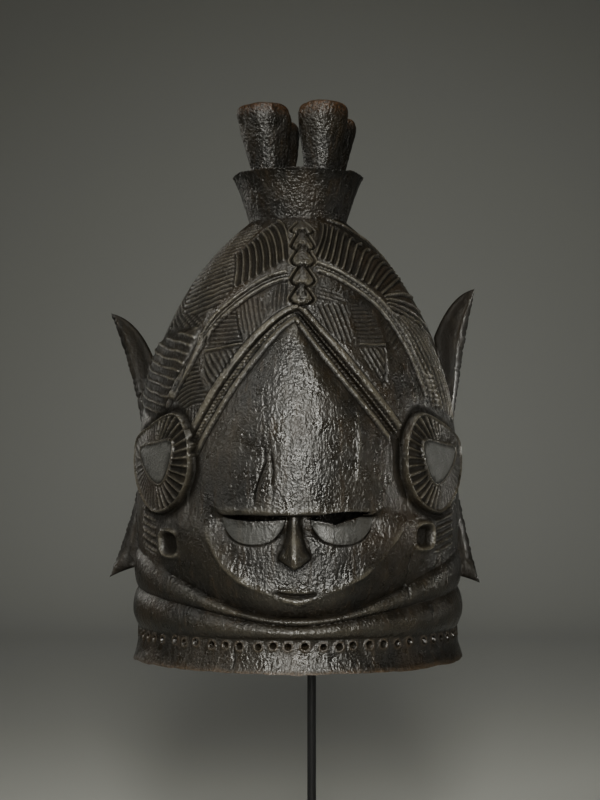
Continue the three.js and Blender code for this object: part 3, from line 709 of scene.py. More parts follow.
def mouth(chart):
    """A thin slit with a slight smile over a soft lower lip."""
    slit = [(-14.5, 55.4), (-8, 53.9), (0, 53.2), (7, 53.6), (13, 54.8)]
    lower = [(-11, 51.6), (-5, 49.6), (0, 49.0), (5, 49.5), (10.5, 51.4)]
    slit = smooth_line([(place_x(x, h), h) for x, h in slit])
    lower = smooth_line([(place_x(x, h), h) for x, h in lower])
    chart.cord(lower, 1.7, 0.9)
    chart.gouge(slit, 1.2, 2.2)
    here, d, _, _ = chart.line(slit, 3)
    # The slit is painted dark as shade.
    chart.raise_to("dust", here, bell(d, 1.0))


def jaw(chart):
    """The edge of the face, a rough step from the chin up to the ears."""
    edges = (
        ([(-6, 52), (-13, 57), (-20, 64), (-26, 75), (-30, 88), (-32, 101)], 1.9, -1),
        ([(7, 53), (12, 57), (20, 64), (27, 74), (33, 88), (38, 101)], 1.2, 1),
    )
    for places, height, side in edges:
        line = smooth_line(places)
        here, d, run, length = chart.line(line, 12)
        out = -d * side
        step = np.where(out > 0, bell(out, 1.3), bell(out, 5.5))
        uneven = (0.75 + 0.5 * chart.wander[here]) * ramp(run, 0, 10) * ramp(length - run, 0, 8)
        chart.fine[here] += height * uneven * step
        # The edge of the step is marked lighter as painted glints.
        chart.raise_to("crest", here, uneven * bell(out + 0.6, 0.9))


def brow(chart):
    """The edge over the eyes, a little irregular."""
    here = chart.patch([(-30, 104), (30, 118)], 3)
    x = chart.x(here)
    edge = 107.6 + 0.0006 * x ** 2 + 0.5 * chart.wander[here]
    roll = bell(chart.h[here] - edge - 0.8, 2.0) * (1 - ramp(np.abs(x), 44, 54))
    chart.fine[here] += 0.7 * roll


def cracks(chart):
    """Cracks in the forehead, the neck and the hem, and one raised line."""
    chart.gouge([(-10.5, 152), (-10.2, 141), (-12.6, 128), (-13.6, 121), (-14, 112)], 0.55, 1.4)
    chart.gouge([(-8.6, 150), (-7.6, 136), (-8.0, 124)], 0.55, 1.3)
    chart.gouge([(41.4, 82), (41, 66)], 0.6, 1.0)
    chart.gouge([(40.6, 62), (40.4, 47)], 0.6, 1.2)
    chart.gouge([(-22, 20), (-21.5, 8), (-22.4, 1)], 0.5, 0.8)
    chart.cord([(20.6, 176), (20.4, 150), (19.4, 128)], 1.2, 0.5)


def tool_marks(chart):
    """The soft facets of the adze and knife, over the whole skin."""
    flutes = chart.noise(2.8, 11, stretch=4.0)
    dents = chart.noise(5.5, 12)
    waves = chart.noise(21, 13)
    forehead = ramp(hairline_angle(chart.a, chart.h) - np.abs(chart.a), 1, 6) * (chart.h > BROW)
    neck = 1 - ramp(chart.h, 70, 96)
    amount = 0.04 + 0.06 * forehead + 0.04 * neck
    steady = (1 - 0.85 * chart.pale) * ramp(chart.h, 0, 4)
    chart.fine += (flutes * amount + 0.18 * dents + 0.30 * waves) * steady


def hole_places():
    """Angle in degrees, height and radius in mm of each lashing hole, a little uneven."""
    rng = np.random.default_rng(71)
    places = []
    for k in range(HOLES):
        wander = math.degrees(rng.uniform(-0.35, 0.35) / 24)
        turn = (360 * (k + 0.5) / HOLES + wander + 180) % 360 - 180
        places.append((turn, HOLE_LEVEL + rng.uniform(-0.6, 0.6), rng.uniform(1.9, 2.4)))
    return places


def hole_rims(chart):
    """Dusty worn rims round the lashing holes."""
    for turn, level, size in hole_places():
        if abs(turn) > 96:
            continue
        here = chart.patch([(turn, level)], 7)
        x, y = chart.offsets(here, turn, level)
        ring = bell(np.hypot(x, y) - size - 0.9, 0.8)
        chart.fine[here] += 0.55 * ring
        chart.raise_to("brown", here, 0.45 * ring)


def worn_hem(chart):
    """Brown rubbing along the lower edge."""
    edge = 0.85 * (1 - ramp(chart.h + 0.9 * chart.noise(7, 15), 0.8, 3.2))
    chart.brown = np.maximum(chart.brown, edge)


def back_locks(chart):
    """Long upright locks behind, combed along their length."""
    behind = ramp(np.abs(chart.a), 96, 112)
    ends = ramp(chart.h, 84, 96) * (1 - ramp(chart.h, 286, 304))
    turn = 180 - np.abs(chart.a)
    lock = np.cos(2 * np.pi * turn / LOCK_PITCH)
    seam = np.clip(-lock, 0, 1) ** 12
    comb = np.cos(2 * np.pi * turn / COMB_PITCH) * 0.3
    chart.base += behind * ends * LOCK_DEPTH * lock
    chart.fine += behind * ends * (comb * (1 - seam) - 0.9 * seam)
    # The seams between the locks are painted dark as shade.
    chart.dust = np.maximum(chart.dust, 0.8 * behind * ends * seam)


def carve():
    """All carving of the skin."""
    chart = Chart()
    upper_panels(chart)
    left_hair(chart)
    left_roll(chart)
    right_hair(chart)
    side_hair(chart)
    arcs(chart)
    hairline(chart)
    braid(chart)
    dotted_rows(chart)
    back_locks(chart)
    for side in (-1, 1):
        eyelid(chart, side)
        medallion(chart, side)
    ear(chart, -1, 49, 86)
    ear(chart, 1, 47.5, 91)
    nose(chart)
    mouth(chart)
    jaw(chart)
    brow(chart)
    cracks(chart)
    tool_marks(chart)
    hole_rims(chart)
    worn_hem(chart)
    return chart


def blur(values, rows, columns):
    """Moving average over a chart, twice, so that its edges are soft."""
    for _ in range(2):
        for axis, reach in ((0, rows), (1, columns)):
            first_line, last_line = (np.take(values, [k], axis) for k in (0, -1))
            padded = np.concatenate([first_line] * reach + [values] + [last_line] * reach, axis)
            total = np.cumsum(padded, axis)
            width = 2 * reach + 1
            size = values.shape[axis]
            first = np.take(padded, np.arange(size), axis)
            upto = np.take(total, np.arange(size) + width - 1, axis)
            before = np.take(total, np.arange(size), axis)
            values = (upto - before + first) / width
    return values


def skin_points(chart):
    """Points of the carved skin in mm, with heights over the rim."""
    reach = chart.radius + chart.base
    x = reach * np.sin(chart.a * RAD)
    y = -reach * np.cos(chart.a * RAD)
    y = np.where(y > 0, y * BACK_STRETCH, y)
    points = np.stack([x, y, chart.h], -1)
    out = grid_normals(points)
    points = points + out * (chart.fine * ramp(chart.h, 0, 1.5))[..., None]
    points[0, :, 2] = 0
    turn = np.where(chart.a[0] < 0, chart.a[0] + 360, chart.a[0])
    chips = 0.9 + 0.9 * rim_noise(turn, 14, 16) + 0.5 * rim_noise(turn, 3, 17)
    points[..., 2] += np.clip(chips, 0, 2.4) * (1 - ramp(chart.h, 0, 12))
    return points


def grid_normals(points):
    """Outward directions over a grid that closes on itself sideways."""
    across = np.roll(points, -1, 1) - np.roll(points, 1, 1)
    up = np.gradient(points, axis=0)
    out = np.cross(across, up)
    return out / np.maximum(np.linalg.norm(out, axis=-1, keepdims=True), 1e-9)


def to_world(points):
    """From mm on the mask to metres in the row's frame."""
    return (np.asarray(points) + [MASK_SHIFT, 0, RIM_LEVEL]) * MM


def make_object(name, points, faces):
    """A mesh object from points in metres and faces that all have as many corners."""
    mesh = bpy.data.meshes.new(name)
    points = np.asarray(points, dtype=np.float32)
    faces = np.asarray(faces, dtype=np.int32)
    mesh.vertices.add(len(points))
    mesh.vertices.foreach_set("co", points.ravel())
    size = faces.shape[1]
    mesh.loops.add(faces.size)
    mesh.loops.foreach_set("vertex_index", faces.ravel())
    mesh.polygons.add(len(faces))
    mesh.polygons.foreach_set("loop_start", np.arange(0, faces.size, size, dtype=np.int32))
    mesh.update(calc_edges=True)
    mesh.validate()
    obj = bpy.data.objects.new(name, mesh)
    bpy.context.scene.collection.objects.link(obj)
    return obj


def grid_faces(rows, columns):
    """Triangles of a grid that closes sideways, with a fan over each end."""
    k = np.arange(rows - 1)[:, None]
    i = np.arange(columns)[None, :]
    here = k * columns + i
    side = k * columns + (i + 1) % columns
    quads = np.stack([here, side, side + columns, here + columns], -1).reshape(-1, 4)
    triangles = np.concatenate([quads[:, [0, 1, 2]], quads[:, [0, 2, 3]]])
    foot, head = rows * columns, rows * columns + 1
    ring = np.arange(columns)
    after = (ring + 1) % columns
    last = (rows - 1) * columns
    low = np.stack([np.full(columns, foot), after, ring], -1)
    high = np.stack([np.full(columns, head), last + ring, last + after], -1)
    return np.concatenate([triangles, low, high])


def tube(name, points):
    """A closed solid from a grid of points, capped at both ends."""
    points = np.asarray(points, dtype=float)
    rows, columns = points.shape[:2]
    ends = [points[0].mean(0), points[-1].mean(0)]
    flat = np.concatenate([points.reshape(-1, 3), ends])
    return make_object(name, to_world(flat), grid_faces(rows, columns))


def set_attribute(obj, name, values):
    """Stores a value for each point. The middles of the end caps come last and keep 0."""
    layer = obj.data.attributes.new(name, "FLOAT", "POINT")
    full = np.zeros(len(obj.data.vertices), dtype=np.float32)
    full[: len(values)] = values
    layer.data.foreach_set("value", full)


def skin(chart):
    """The carved skin as a closed mesh, with the marks that its material needs."""
    points = skin_points(chart)
    obj = tube("carved_mask", points)
    cell = 4
    soft = blur(chart.fine, cell, cell)
    broad = blur(chart.fine + chart.base, 3 * cell, 3 * cell)
    stand = chart.fine - soft
    stand_wide = chart.base + chart.fine - broad
    # Places below their surroundings are painted darker as shade, with some settled dirt; places above them
    # are painted lighter, as worn wood with painted highlights.
    dust = ramp(-stand, 0.1, 0.8) + 0.4 * ramp(-stand_wide, 0, 2.4)
    wear_and_highlight = np.maximum(ramp(stand, 0.15, 0.75), chart.crest) + 0.4 * ramp(stand_wide, 0, 2.4)
    set_attribute(obj, "dust", np.clip(np.maximum(dust, chart.dust), 0, 1).ravel())
    set_attribute(obj, "wear_and_highlight", np.clip(wear_and_highlight, 0, 1).ravel())
    set_attribute(obj, "pale", chart.pale.ravel())
    set_attribute(obj, "brown", chart.brown.ravel())
    set_attribute(obj, "still", (chart.pale * (np.abs(chart.a) < 40)).ravel())
    return obj


def lathe_points(outline, columns):
    """A grid of points from (radius, height) pairs."""
    turn = np.arange(columns) * 2 * np.pi / columns
    grid = np.zeros((len(outline), columns, 3))
    for k, (radius, h) in enumerate(outline):
        grid[k, :, 0] = radius * np.sin(turn)
        grid[k, :, 1] = -radius * np.cos(turn)
        grid[k, :, 2] = h
    return grid


def crown_collar():
    """The flaring cup on top, with a thin notched rim."""
    columns = 300
    outer = smooth_line([(34.6, 311), (35.4, 316), (38.6, 326), (42.4, 337), (46.6, 347.2)], 6)
    lip = [(47.5, 348.2), (47.0, 349.0), (45.6, 349.1), (44.3, 348.6)]
    inner = smooth_line([(43.2, 346.5), (38.6, 339), (33.4, 332), (20, 329.6), (1, 329)], 5)
    points = lathe_points([(4, 311)] + outer + lip + inner, columns)
    turn = np.arange(columns) * 360 / columns
    wave = rim_noise(turn, 14, 31) + 0.5 * rim_noise(turn, 4, 32)
    notch = bell(((turn / 4.5) % 1) - 0.5, 0.2) * (0.6 + 0.4 * rim_noise(turn, 9, 33))
    edge = ramp(points[..., 2], 339, 348)
    points[..., 2] += edge * (0.7 * wave - 1.1 * notch)[None, :]
    flute = lattice_noise(turn[None, :] * 0.8 + 0 * points[..., 2], points[..., 2] / 3, 2.2, 34, 288)
    outward = points[..., :2] / np.maximum(np.linalg.norm(points[..., :2], axis=-1, keepdims=True), 1e-6)
    points[..., :2] += outward * (0.34 * flute)[..., None]
    return tube("crown_collar", points)


PRONG_FOOT = 322
PRONG_GIRTH = 17  # about the radius, on which the dents are spaced
PRONGS = [
    {"foot": (-17.6, -17), "head": (-25.5, -22), "top": 398, "width": 37, "seed": 41, "chip": (-74, 383)},
    {"foot": (16, -17), "head": (18.3, -22), "top": 400, "width": 34, "seed": 42},
    {"foot": (-13, 17), "head": (-17.5, 23), "top": 395, "width": 34, "seed": 43},
    {"foot": (19, 17), "head": (25.8, 23), "top": 397, "width": 34, "seed": 44},
]


def prong(foot, head, top, width, seed, chip=None):
    """A club that widens upwards to a worn round top. chip is the angle and height of a broken place."""
    columns = 100
    heights = [PRONG_FOOT, 352, top - 22, top - 11, top - 6, top - 2.6, top - 0.9, top]
    shares = [0.66, 0.70, 0.93, 1.0, 0.98, 0.86, 0.66, 0.30]
    outline = smooth_line(list(zip(shares, heights)), 9)
    points = lathe_points([(share * width / 2, h) for share, h in outline], columns)
    turn = np.arange(columns) * 2 * np.pi / columns
    square = 1 + 0.05 * np.cos(4 * turn)
    t = (points[..., 2] - PRONG_FOOT) / (top - PRONG_FOOT)
    around = turn[None, :] * PRONG_GIRTH + 0 * t
    wrap = 2 * np.pi * PRONG_GIRTH
    dent = lattice_noise(around, points[..., 2], 7, seed, wrap)
    pit = lattice_noise(around, points[..., 2], 2.2, seed + 10, wrap)
    grow = square[None, :] + 0.026 * dent + 0.024 * pit - 0.06 * np.clip(pit - 0.5, 0, 1)
    if chip:
        apart = (turn[None, :] - chip[0] * RAD + np.pi) % (2 * np.pi) - np.pi
        below = points[..., 2] - chip[1]
        grow = grow - 0.2 * np.exp(-((apart * PRONG_GIRTH / 4.5) ** 2) - (below / 4.5) ** 2)
    points[..., 0] = points[..., 0] * grow + lerp(foot[0], head[0], t)
    points[..., 1] = points[..., 1] * grow * 0.86 + lerp(foot[1], head[1], t)
    points[..., 2] += 0.7 * dent * ramp(t, 0.9, 1)
    return tube("prong", points)


CRESCENTS = [
    {"side": -1, "upper": (137, 250), "lower": (138, 57), "root": (104, 214), "foot": (112, 66)},
    {"side": 1, "upper": (129.5, 268), "lower": (133, 53), "root": (99, 232), "foot": (110, 60)},
]
CRESCENT_WAIST = (112, 146)
CRESCENT_BACK = 4
CRESCENT_HALF_THICKNESS = 4.4


def bend(start, pull, end, count):
    """A bowed line in the plane, from start to end."""
    t = np.linspace(0, 1, count)[:, None]
    start, pull, end = map(np.array, (start, pull, end))
    return (1 - t) ** 2 * start + 2 * t * (1 - t) * pull + t * t * end


def evenly(line, count):
    """The same line through places that lie evenly apart."""
    run = np.concatenate([[0], np.cumsum(np.linalg.norm(np.diff(line, axis=0), axis=1))])
    where = np.linspace(0, run[-1], count)
    return np.stack([np.interp(where, run, line[:, k]) for k in (0, 1)], -1)


def crescent(side, upper, lower, root, foot):
    """A thin curved plate at the side, with a notched edge and a slightly hollow face."""
    rows, columns = ((150, 44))
    waist = CRESCENT_WAIST
    outer = np.vstack([
        bend(upper, (waist[0] + 3, 190), waist, 40),
        bend(waist, (waist[0] + 7, 110), lower, 40)[1:],
    ])
    inner = np.vstack([
        bend(upper, (root[0] + 12, root[1] + 32), root, 30),
        np.array([(104, 200), (108, 80)]),
        bend(foot, ((foot[0] + lower[0]) / 2, foot[1] - 2), lower, 16),
    ])
    outer = evenly(outer, rows)
    inner = evenly(inner, rows)
    run = np.arange(rows) / rows
    nick = lattice_noise(run * 200, run * 0, 3.4, 51 + side, 200) - 1.2 * (((run * 44) % 1) < 0.22)
    outer[:, 0] += 0.45 * nick
    u = (1 - np.cos(np.linspace(0, np.pi, columns // 2 + 1))) / 2
    width = np.linalg.norm(outer - inner, axis=1)
    points = np.zeros((rows, columns, 3))
    # The whole plate is painted dark as shade, less so along its crest.
    shade = np.full((rows, columns), 0.9)
    for k in range(rows):
        share = min(1.0, width[k] / 22)
        thick = CRESCENT_HALF_THICKNESS * min(1.0, 0.25 + width[k] / 14)
        rise = thick * np.clip(1 - (2 * u - 1) ** 4, 0, 1) ** 0.6
        lean = share * (lerp(-4.2, 4.2, u) + 1.6 * ramp(u, 0.74, 0.96))
        crest = 0.9 * bell((u - 0.72) * width[k], 0.9) * share
        across = lerp(inner[k][None, :], outer[k][None, :], u[:, None])
        front = np.column_stack([side * across[:, 0], CRESCENT_BACK - rise + lean - crest, across[:, 1]])
        rear = np.column_stack([side * across[:, 0], CRESCENT_BACK + rise + lean, across[:, 1]])
        points[k] = np.vstack([front[:-1], rear[::-1][:-1]])
        shade[k, : len(u) - 1] *= 1 - bell((u[:-1] - 0.74) * width[k], 1.6)
    obj = tube("crescent", points)
    set_attribute(obj, "dust", shade.ravel())
    set_attribute(obj, "still", np.full(rows * columns, 0.6))
    return obj


def hollow():
    """What is carved away inside: straight walls, then a dome with a flat ceiling."""
    outline = [(OPENING_RADIUS, -2)]
    outline += [(float(body_radius(h + 6)) - WALL, h) for h in np.linspace(20, 258, 26)]
    outline += [(58, 270), (44, 279), (CEILING_RADIUS, CEILING - 0.5), (8, CEILING)]
    points = lathe_points(outline, 160)
    turn = np.degrees(np.arctan2(points[..., 0], -points[..., 1]))
    chip = lattice_noise(turn * 1.8, points[..., 2], 13, 61, 648)
    inward = 1 - 0.006 * (chip + 1) * ramp(points[..., 2], 0, 12)
    points[..., 0] *= inward
    points[..., 1] *= inward
    return tube("hollow", points)


def lashing_holes():
    """Small round holes all round under the lowest roll."""
    made = []
    for degrees, level, size in hole_places():
        turn = degrees * RAD
        grid = lathe_points([(size * 1.5, 124), (size * 1.05, 115.2), (size, 112), (size * 0.8, 96)], 12)
        across, up, out = grid[..., 0].copy(), grid[..., 1].copy(), grid[..., 2].copy()
        up += 0.28 * (114 - out)
        grid[..., 0] = out * math.sin(turn) + across * math.cos(turn)
        grid[..., 1] = -out * math.cos(turn) + across * math.sin(turn)
        grid[..., 2] = level + up
        made.append(tube("hole", grid))
    return made


LEFT_EYE = [
    (-48.6, 104.8), (-42, 103.4), (-32, 102.3), (-18, 102.6), (-5.2, 103.6),
    (-9, 105.0), (-18, 106.0), (-30, 106.5), (-41, 106.3),
]
RIGHT_EYE = [
    (5.4, 103.6), (14, 102.4), (22, 100.9), (25, 99.6), (28.5, 101.2), (38, 104.2), (48.6, 108.2),
    (40, 108.8), (30, 108.9), (20, 107.6), (12, 105.8),
]


def eye_slit(corners):
    """The slit between lid and brow, open right through the wall."""
    line = np.array(corners[::-1])
    grid = np.zeros((5, len(line), 3))
    for k, y in enumerate(np.linspace(-136, -60, 5)):
        grid[k, :, 0] = line[:, 0]
        grid[k, :, 1] = y
        grid[k, :, 2] = line[:, 1]
    return tube("slit", grid)


def combine(target, other, operation):
    """Joins other to target, or cuts it away, and drops other."""
    step = target.modifiers.new("step", "BOOLEAN")
    step.operation = operation
    step.solver = "MANIFOLD"
    step.object = other
    bake(target)
    bpy.data.objects.remove(other)
    return target


def bake(obj):
    """Keeps what the modifiers make of a mesh."""
    graph = bpy.context.evaluated_depsgraph_get()
    made = bpy.data.meshes.new_from_object(obj.evaluated_get(graph))
    obj.modifiers.clear()
    old = obj.data
    obj.data = made
    bpy.data.meshes.remove(old)


def joined(objects):
    """Closed meshes joined into the first."""
    first = objects[0]
    for other in objects[1:]:
        combine(first, other, "UNION")
    return first


def outward(obj):
    """Turns the faces of a closed mesh to look out."""
    mesh = obj.data
    count = len(mesh.vertices)
    points = np.empty(count * 3, dtype=np.float32)
    mesh.vertices.foreach_get("co", points)
    points = points.reshape(-1, 3).astype(float)
    corners = np.empty(len(mesh.loops), dtype=np.int32)
    mesh.loops.foreach_get("vertex_index", corners)
    p, q, r = (points[corners.reshape(-1, 3)[:, k]] for k in range(3))
    if np.einsum("ij,ij->i", p, np.cross(q, r)).sum() < 0:
        mesh.flip_normals()
    return obj


def smooth(obj, angle):
    """Smooth shading, with sharp edges where faces turn by more than angle degrees."""
    faces = obj.data.polygons
    faces.foreach_set("use_smooth", np.ones(len(faces), dtype=bool))
    obj.data.set_sharp_from_angle(angle=math.radians(angle))


def carved_mask():
    """The whole mask as one carved piece."""
    chart = carve()
    body = outward(skin(chart))
    parts = [crown_collar()] + [prong(**p) for p in PRONGS] + [crescent(**c) for c in CRESCENTS]
    added = joined([outward(part) for part in parts])
    cuts = [hollow(), eye_slit(LEFT_EYE), eye_slit(RIGHT_EYE)] + lashing_holes()
    away = joined([outward(part) for part in cuts])
    combine(body, added, "UNION")
    combine(body, away, "DIFFERENCE")
    slim(body)
    smooth(body, 62)
    return body


def slim(obj):
    """Brings a mesh under the triangle limit, most where it is flat."""
    count = sum(len(p.vertices) - 2 for p in obj.data.polygons)
    if count <= TRIANGLE_LIMIT:
        return
    step = obj.modifiers.new("slim", "DECIMATE")
    step.ratio = TRIANGLE_LIMIT / count
    step.use_collapse_triangulate = True
    bake(obj)


def steel_rod():
    """The rod that carries the mask, with the small disc the crown rests on."""
    foot = PLATE_THICKNESS - SOCKET_DEPTH + FIT_GAP
    head = RIM_LEVEL + CEILING - FIT_GAP
    rod, disc = ROD_RADIUS, REST_DISC_RADIUS
    outline = [
        (rod - 0.1, foot), (rod, foot + 0.5), (rod, head - 7.2), (rod + 1.2, head - 6.2),
        (disc - 0.6, head - 6), (disc, head - 5.4), (disc, head - 0.6), (disc - 0.6, head),
    ]
    points = lathe_points(outline, 56)
    points[..., 0] -= MASK_SHIFT
    points[..., 2] -= RIM_LEVEL
    return outward(tube("steel_rod", points))


def steel_plate():
    """The flat base plate with softened edges."""
    turn = np.radians(np.arange(0, 360, 5))
    reach = PLATE_WIDTH / 2 - PLATE_CORNER
    top = PLATE_THICKNESS
    grid = []
    for inset, z in ((1.2, 0), (0.3, 0.3), (0, 1.2), (0, top - 1.2), (0.3, top - 0.3), (1.2, top)):
        ring = []
        for t in turn:
            x = reach * (1 if math.sin(t + 1e-6) > 0 else -1) + (PLATE_CORNER - inset) * math.sin(t)
            y = -reach * (1 if math.cos(t + 1e-6) > 0 else -1) - (PLATE_CORNER - inset) * math.cos(t)
            ring.append((x - MASK_SHIFT, y, z - RIM_LEVEL))
        grid.append(ring)
    return outward(tube("steel_plate", grid))


class Shader:
    """Short hand for building one material from nodes."""

    def __init__(self, name):
        self.material = bpy.data.materials.new(name)
        self.material.use_nodes = True
        self.nodes = self.material.node_tree.nodes
        self.links = self.material.node_tree.links
        self.skin = self.nodes["Principled BSDF"]
        self.place = self.nodes.new("ShaderNodeTexCoord").outputs["Object"]

    def put(self, socket, value):
        if isinstance(value, bpy.types.NodeSocket):
            self.links.new(value, socket)
        else:
            socket.default_value = value

    def node(self, kind, inputs, output, **settings):
        """Adds one node, sets it, fills its inputs and gives its output."""
        node = self.nodes.new("ShaderNode" + kind)
        for key, value in settings.items():
            setattr(node, key, value)
        for key, value in inputs.items():
            self.put(node.inputs[key], value)
        return node.outputs[output]

    def attribute(self, name):
        return self.node("Attribute", {}, "Fac", attribute_name=name)

    def height(self):
        return self.node("SeparateXYZ", {0: self.place}, "Z")

    def noise(self, scale, detail=3.0, roughness=0.55, stretch=None):
        where = self.place
        if stretch:
            where = self.node("Mapping", {"Vector": where, "Scale": stretch}, "Vector")
        inputs = {"Vector": where, "Scale": scale, "Detail": detail, "Roughness": roughness}
        return self.node("TexNoise", inputs, "Fac")

    def times(self, a, b):
        return self.node("Math", {0: a, 1: b}, 0, operation="MULTIPLY")

    def plus(self, a, b):
        return self.node("Math", {0: a, 1: b}, 0, operation="ADD")

    def span(self, value, low, high, to_low=0.0, to_high=1.0):
        """Smooth step from to_low, where value is low, to to_high."""
        inputs = {"Value": value, "From Min": low, "From Max": high, "To Min": to_low, "To Max": to_high}
        return self.node("MapRange", inputs, "Result", interpolation_type="SMOOTHSTEP")

    def mix(self, share, a, b):
        """Colour between a and b."""
        a, b = ((*c, 1) if isinstance(c, tuple) else c for c in (a, b))
        return self.node("Mix", {0: share, 6: a, 7: b}, 2, data_type="RGBA")

    def bump(self, height, distance, strength=1.0):
        inputs = {"Height": height, "Distance": distance, "Strength": strength}
        self.put(self.skin.inputs["Normal"], self.node("Bump", inputs, "Normal"))


# Colours of the wood
WOOD = {
    "black": (0.0062, 0.0055, 0.0042),
    "soft_black": (0.0165, 0.0133, 0.0086),
    "warm": (0.026, 0.0172, 0.0090),
    "streak": (0.027, 0.019, 0.0105),
    "grey": (0.050, 0.051, 0.047),
    # Tan of worn wood, also used for painted highlights on ridges
    "worn": (0.085, 0.076, 0.055),
    # Near black painted into cuts and hollows as shade
    "cut": (0.0048, 0.0040, 0.0028),
    # Brown dirt that settles in patches over the painted shade of the cuts
    "dust": (0.030, 0.024, 0.015),
    "hem": (0.062, 0.039, 0.019),
    "tip": (0.095, 0.042, 0.014),
}

# Heights over the floor in metres between which the prong tops turn bare and the crown grows rougher
TIP_LEVELS = (0.545, 0.560)
CROWN_LEVELS = (0.462, 0.476)


def carved_wood():
    """Dark handled wood: a glossy black crust, tan where it is worn and as painted highlights on ridges,
    near black in the cuts and hollows as painted shade.
    """
    s = Shader("carved_wood")
    # gap marks the painted shade in cuts and hollows, with some settled dirt; the next mark is worn wood
    # with painted highlights.
    gap = s.attribute("dust")
    wear_and_highlight = s.attribute("wear_and_highlight")
    pale = s.attribute("pale")
    brown = s.attribute("brown")
    patch = s.noise(70, 5, 0.6)
    speck = s.noise(560, 2, 0.5)
    grain = s.noise(190, 4, 0.6, stretch=(1, 1, 0.16))
    strokes = s.noise(360, 2, 0.5, stretch=(1, 1, 0.42))
    black = s.mix(s.span(s.noise(22, 4), 0.38, 0.66), WOOD["black"], WOOD["soft_black"])
    warm = s.mix(s.span(s.noise(13, 3), 0.5, 0.7, 0.0, 0.75), black, WOOD["warm"])
    streak = s.mix(s.span(grain, 0.5, 0.75, 0.0, 0.8), warm, WOOD["streak"])
    greyed = s.mix(s.times(pale, 0.8), streak, WOOD["grey"])
    # Ridges turn tan, as worn wood and as painted highlights.
    worn = s.mix(s.times(wear_and_highlight, s.span(patch, 0.32, 0.66, 0.25, 0.85)), greyed, WOOD["worn"])
    # Cuts and hollows are painted near black as shade.
    dark = s.mix(s.times(gap, 0.85), worn, WOOD["cut"])
    settled = s.times(gap, s.span(patch, 0.5, 0.72, 0.0, 0.6))
    dusty = s.mix(settled, dark, WOOD["dust"])
    edge = s.mix(s.times(brown, s.span(speck, 0.35, 0.6, 0.3, 1.0)), dusty, WOOD["hem"])
    tip = s.span(s.height(), *TIP_LEVELS)
    bare = s.times(tip, s.span(speck, 0.38, 0.62, 0.1, 0.7))
    s.put(s.skin.inputs["Base Color"], s.mix(bare, edge, WOOD["tip"]))
    rough = s.span(s.noise(90, 4, 0.6), 0.3, 0.7, 0.22, 0.42)
    for layer, extra in ((gap, 0.32), (pale, 0.28), (brown, 0.25)):
        rough = s.plus(rough, s.times(layer, extra))
    s.put(s.skin.inputs["Roughness"], rough)
    # Less reflection in the cuts and hollows, as painted shade.
    s.put(s.skin.inputs["Specular IOR Level"], s.span(gap, 0.0, 1.0, 0.62, 0.16))
    crown = s.span(s.height(), *CROWN_LEVELS, 0.9, 1.6)
    fine = s.plus(strokes, s.times(speck, crown))
    fine = s.plus(fine, s.times(grain, 0.5))
    fine = s.times(fine, s.span(s.attribute("still"), 0.0, 1.0, 1.0, 0.3))
    s.bump(fine, 0.0010, 0.75)
    return s.material


def black_steel():
    s = Shader("black_steel")
    s.put(s.skin.inputs["Base Color"], (0.014, 0.014, 0.015, 1))
    s.put(s.skin.inputs["Roughness"], s.span(s.noise(60, 3), 0.3, 0.7, 0.36, 0.5))
    s.put(s.skin.inputs["Metallic"], 0.25)
    s.bump(s.noise(900, 2), 0.00015, 0.4)
    return s.material


def plain(name, colour, roughness):
    s = Shader(name)
    s.put(s.skin.inputs["Base Color"], (*colour, 1))
    s.put(s.skin.inputs["Roughness"], roughness)
    return s.material


def backdrop():
    """A plain pale sweep: floor, curve and wall in one sheet."""
    line = [(FLOOR_FRONT, 0.0), (CURVE_START, 0.0)]
    for k in range(1, 17):
        turn = math.pi / 2 * k / 16
        rise = CURVE_RADIUS - CURVE_RADIUS * math.cos(turn)
        line.append((CURVE_START + CURVE_RADIUS * math.sin(turn), rise))
    line.append((CURVE_START + CURVE_RADIUS, WALL_TOP))
    points = [(x, y, z - SWEEP_DROP) for y, z in line for x in (-SWEEP_HALF_WIDTH, SWEEP_HALF_WIDTH)]
    faces = [(2 * k, 2 * k + 1, 2 * k + 3, 2 * k + 2) for k in range(len(line) - 1)]
    obj = make_object("backdrop", points, faces)
    obj.data.polygons.foreach_set("use_smooth", np.ones(len(faces), dtype=bool))
    obj.data.materials.append(plain("backdrop_grey", SWEEP_COLOUR, 0.95))


def place_light(data, place, aim):
    """Puts a light in the scene and turns it towards its aim."""
    obj = bpy.data.objects.new(data.name, data)
    obj.location = place
    obj.rotation_euler = (Vector(aim) - Vector(place)).to_track_quat("-Z", "Y").to_euler()
    bpy.context.scene.collection.objects.link(obj)


def glow(name, place, aim, power, cone):
    """A round soft pool of light on the wall and the floor."""
    data = bpy.data.lights.new(name, "SPOT")
    data.energy = power
    data.spot_size = math.radians(cone)
    data.spot_blend = 1.0
    data.shadow_soft_size = 0.15
    place_light(data, place, aim)


def lamp(name, place, size, power, aim, spread=180):
    """A soft box. A small spread keeps its light near the line to its aim."""
    data = bpy.data.lights.new(name, "AREA")
    data.shape = "RECTANGLE"
    data.size, data.size_y = size
    data.energy = power
    data.spread = math.radians(spread)
    data.color = LAMP_COLOUR
    place_light(data, place, aim)


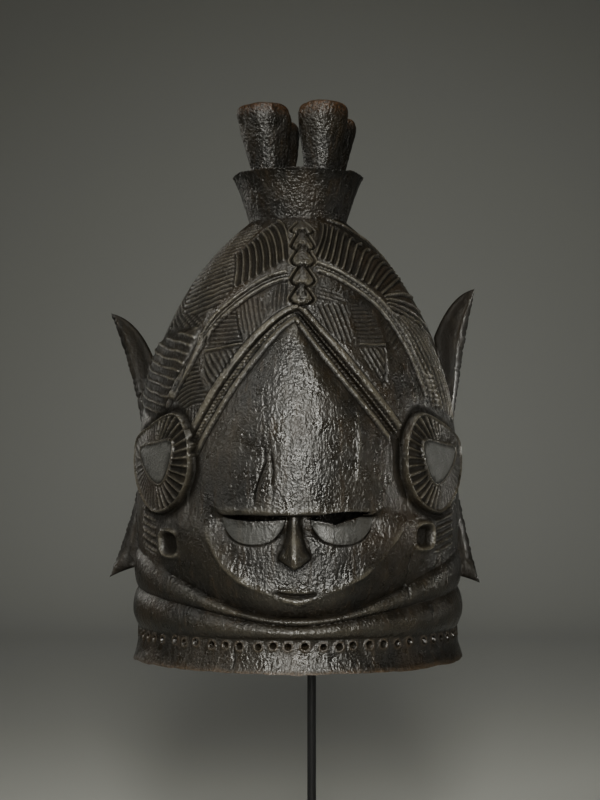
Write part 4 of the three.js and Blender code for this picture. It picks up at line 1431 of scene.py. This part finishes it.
def lights():
    lamp("key_strip", (0.0, -1.50, 0.82), (0.26, 1.10), 4.3, (0, 0, 0.40), 80)
    lamp("key_wide", (0.0, -1.60, 0.95), (0.90, 0.80), 1.7, (0, 0, 0.40), 100)
    lamp("key_low", (0.0, -1.50, 0.42), (0.10, 0.35), 0.09, (0, 0, 0.29), 22)
    lamp("top_soft", (0.0, -0.25, 1.50), (0.50, 0.50), 0.45, (0, 0, 0.50), 60)
    lamp("left_back", (-1.25, 1.15, 0.65), (0.30, 0.30), 0.09, (-0.05, 0, 0.38), 36)
    lamp("left_high", (-1.0, -0.4, 1.1), (0.40, 0.40), 0.30, (0, 0, 0.40), 50)
    lamp("left_side", (-1.35, -0.60, 0.50), (0.30, 0.60), 0.055, (0, 0, 0.36), 22)
    lamp("right_side", (1.35, -0.60, 0.50), (0.30, 0.60), 0.03, (0, 0, 0.36), 22)
    lamp("left_low", (-1.30, 0.10, 0.33), (0.15, 0.15), 0.009, (0, 0, 0.33), 12)
    lamp("right_low", (1.30, 0.22, 0.33), (0.15, 0.15), 0.05, (0, 0, 0.33), 12)
    glow("wall_glow", (0.12, 0.95, 1.70), (0.12, 1.95, 0.0), 8.5, 105)
    world = bpy.data.worlds.new("room")
    world.use_nodes = True
    background = world.node_tree.nodes["Background"]
    background.inputs["Color"].default_value = ROOM_COLOUR
    background.inputs["Strength"].default_value = ROOM_STRENGTH
    bpy.context.scene.world = world


def camera():
    data = bpy.data.cameras.new("camera")
    data.lens = CAMERA_LENS
    data.shift_y = CAMERA_SHIFT
    obj = bpy.data.objects.new("camera", data)
    obj.location = CAMERA_PLACE
    obj.rotation_euler = (math.radians(90), 0, 0)
    bpy.context.scene.collection.objects.link(obj)
    bpy.context.scene.camera = obj


def dress(obj, node, material):
    """Gives a piece its material and ties it to the solid that it replaces."""
    obj.data.materials.clear()
    obj.data.materials.append(material)
    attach(obj, "root")
    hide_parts(node)


steel = black_steel()
dress(carved_mask(), "helmet_mask", carved_wood())
for piece, node in ((steel_rod(), "display_rod"), (steel_plate(), "base_plate")):
    smooth(piece, 40)
    dress(piece, node, steel)
backdrop()
lights()
camera()
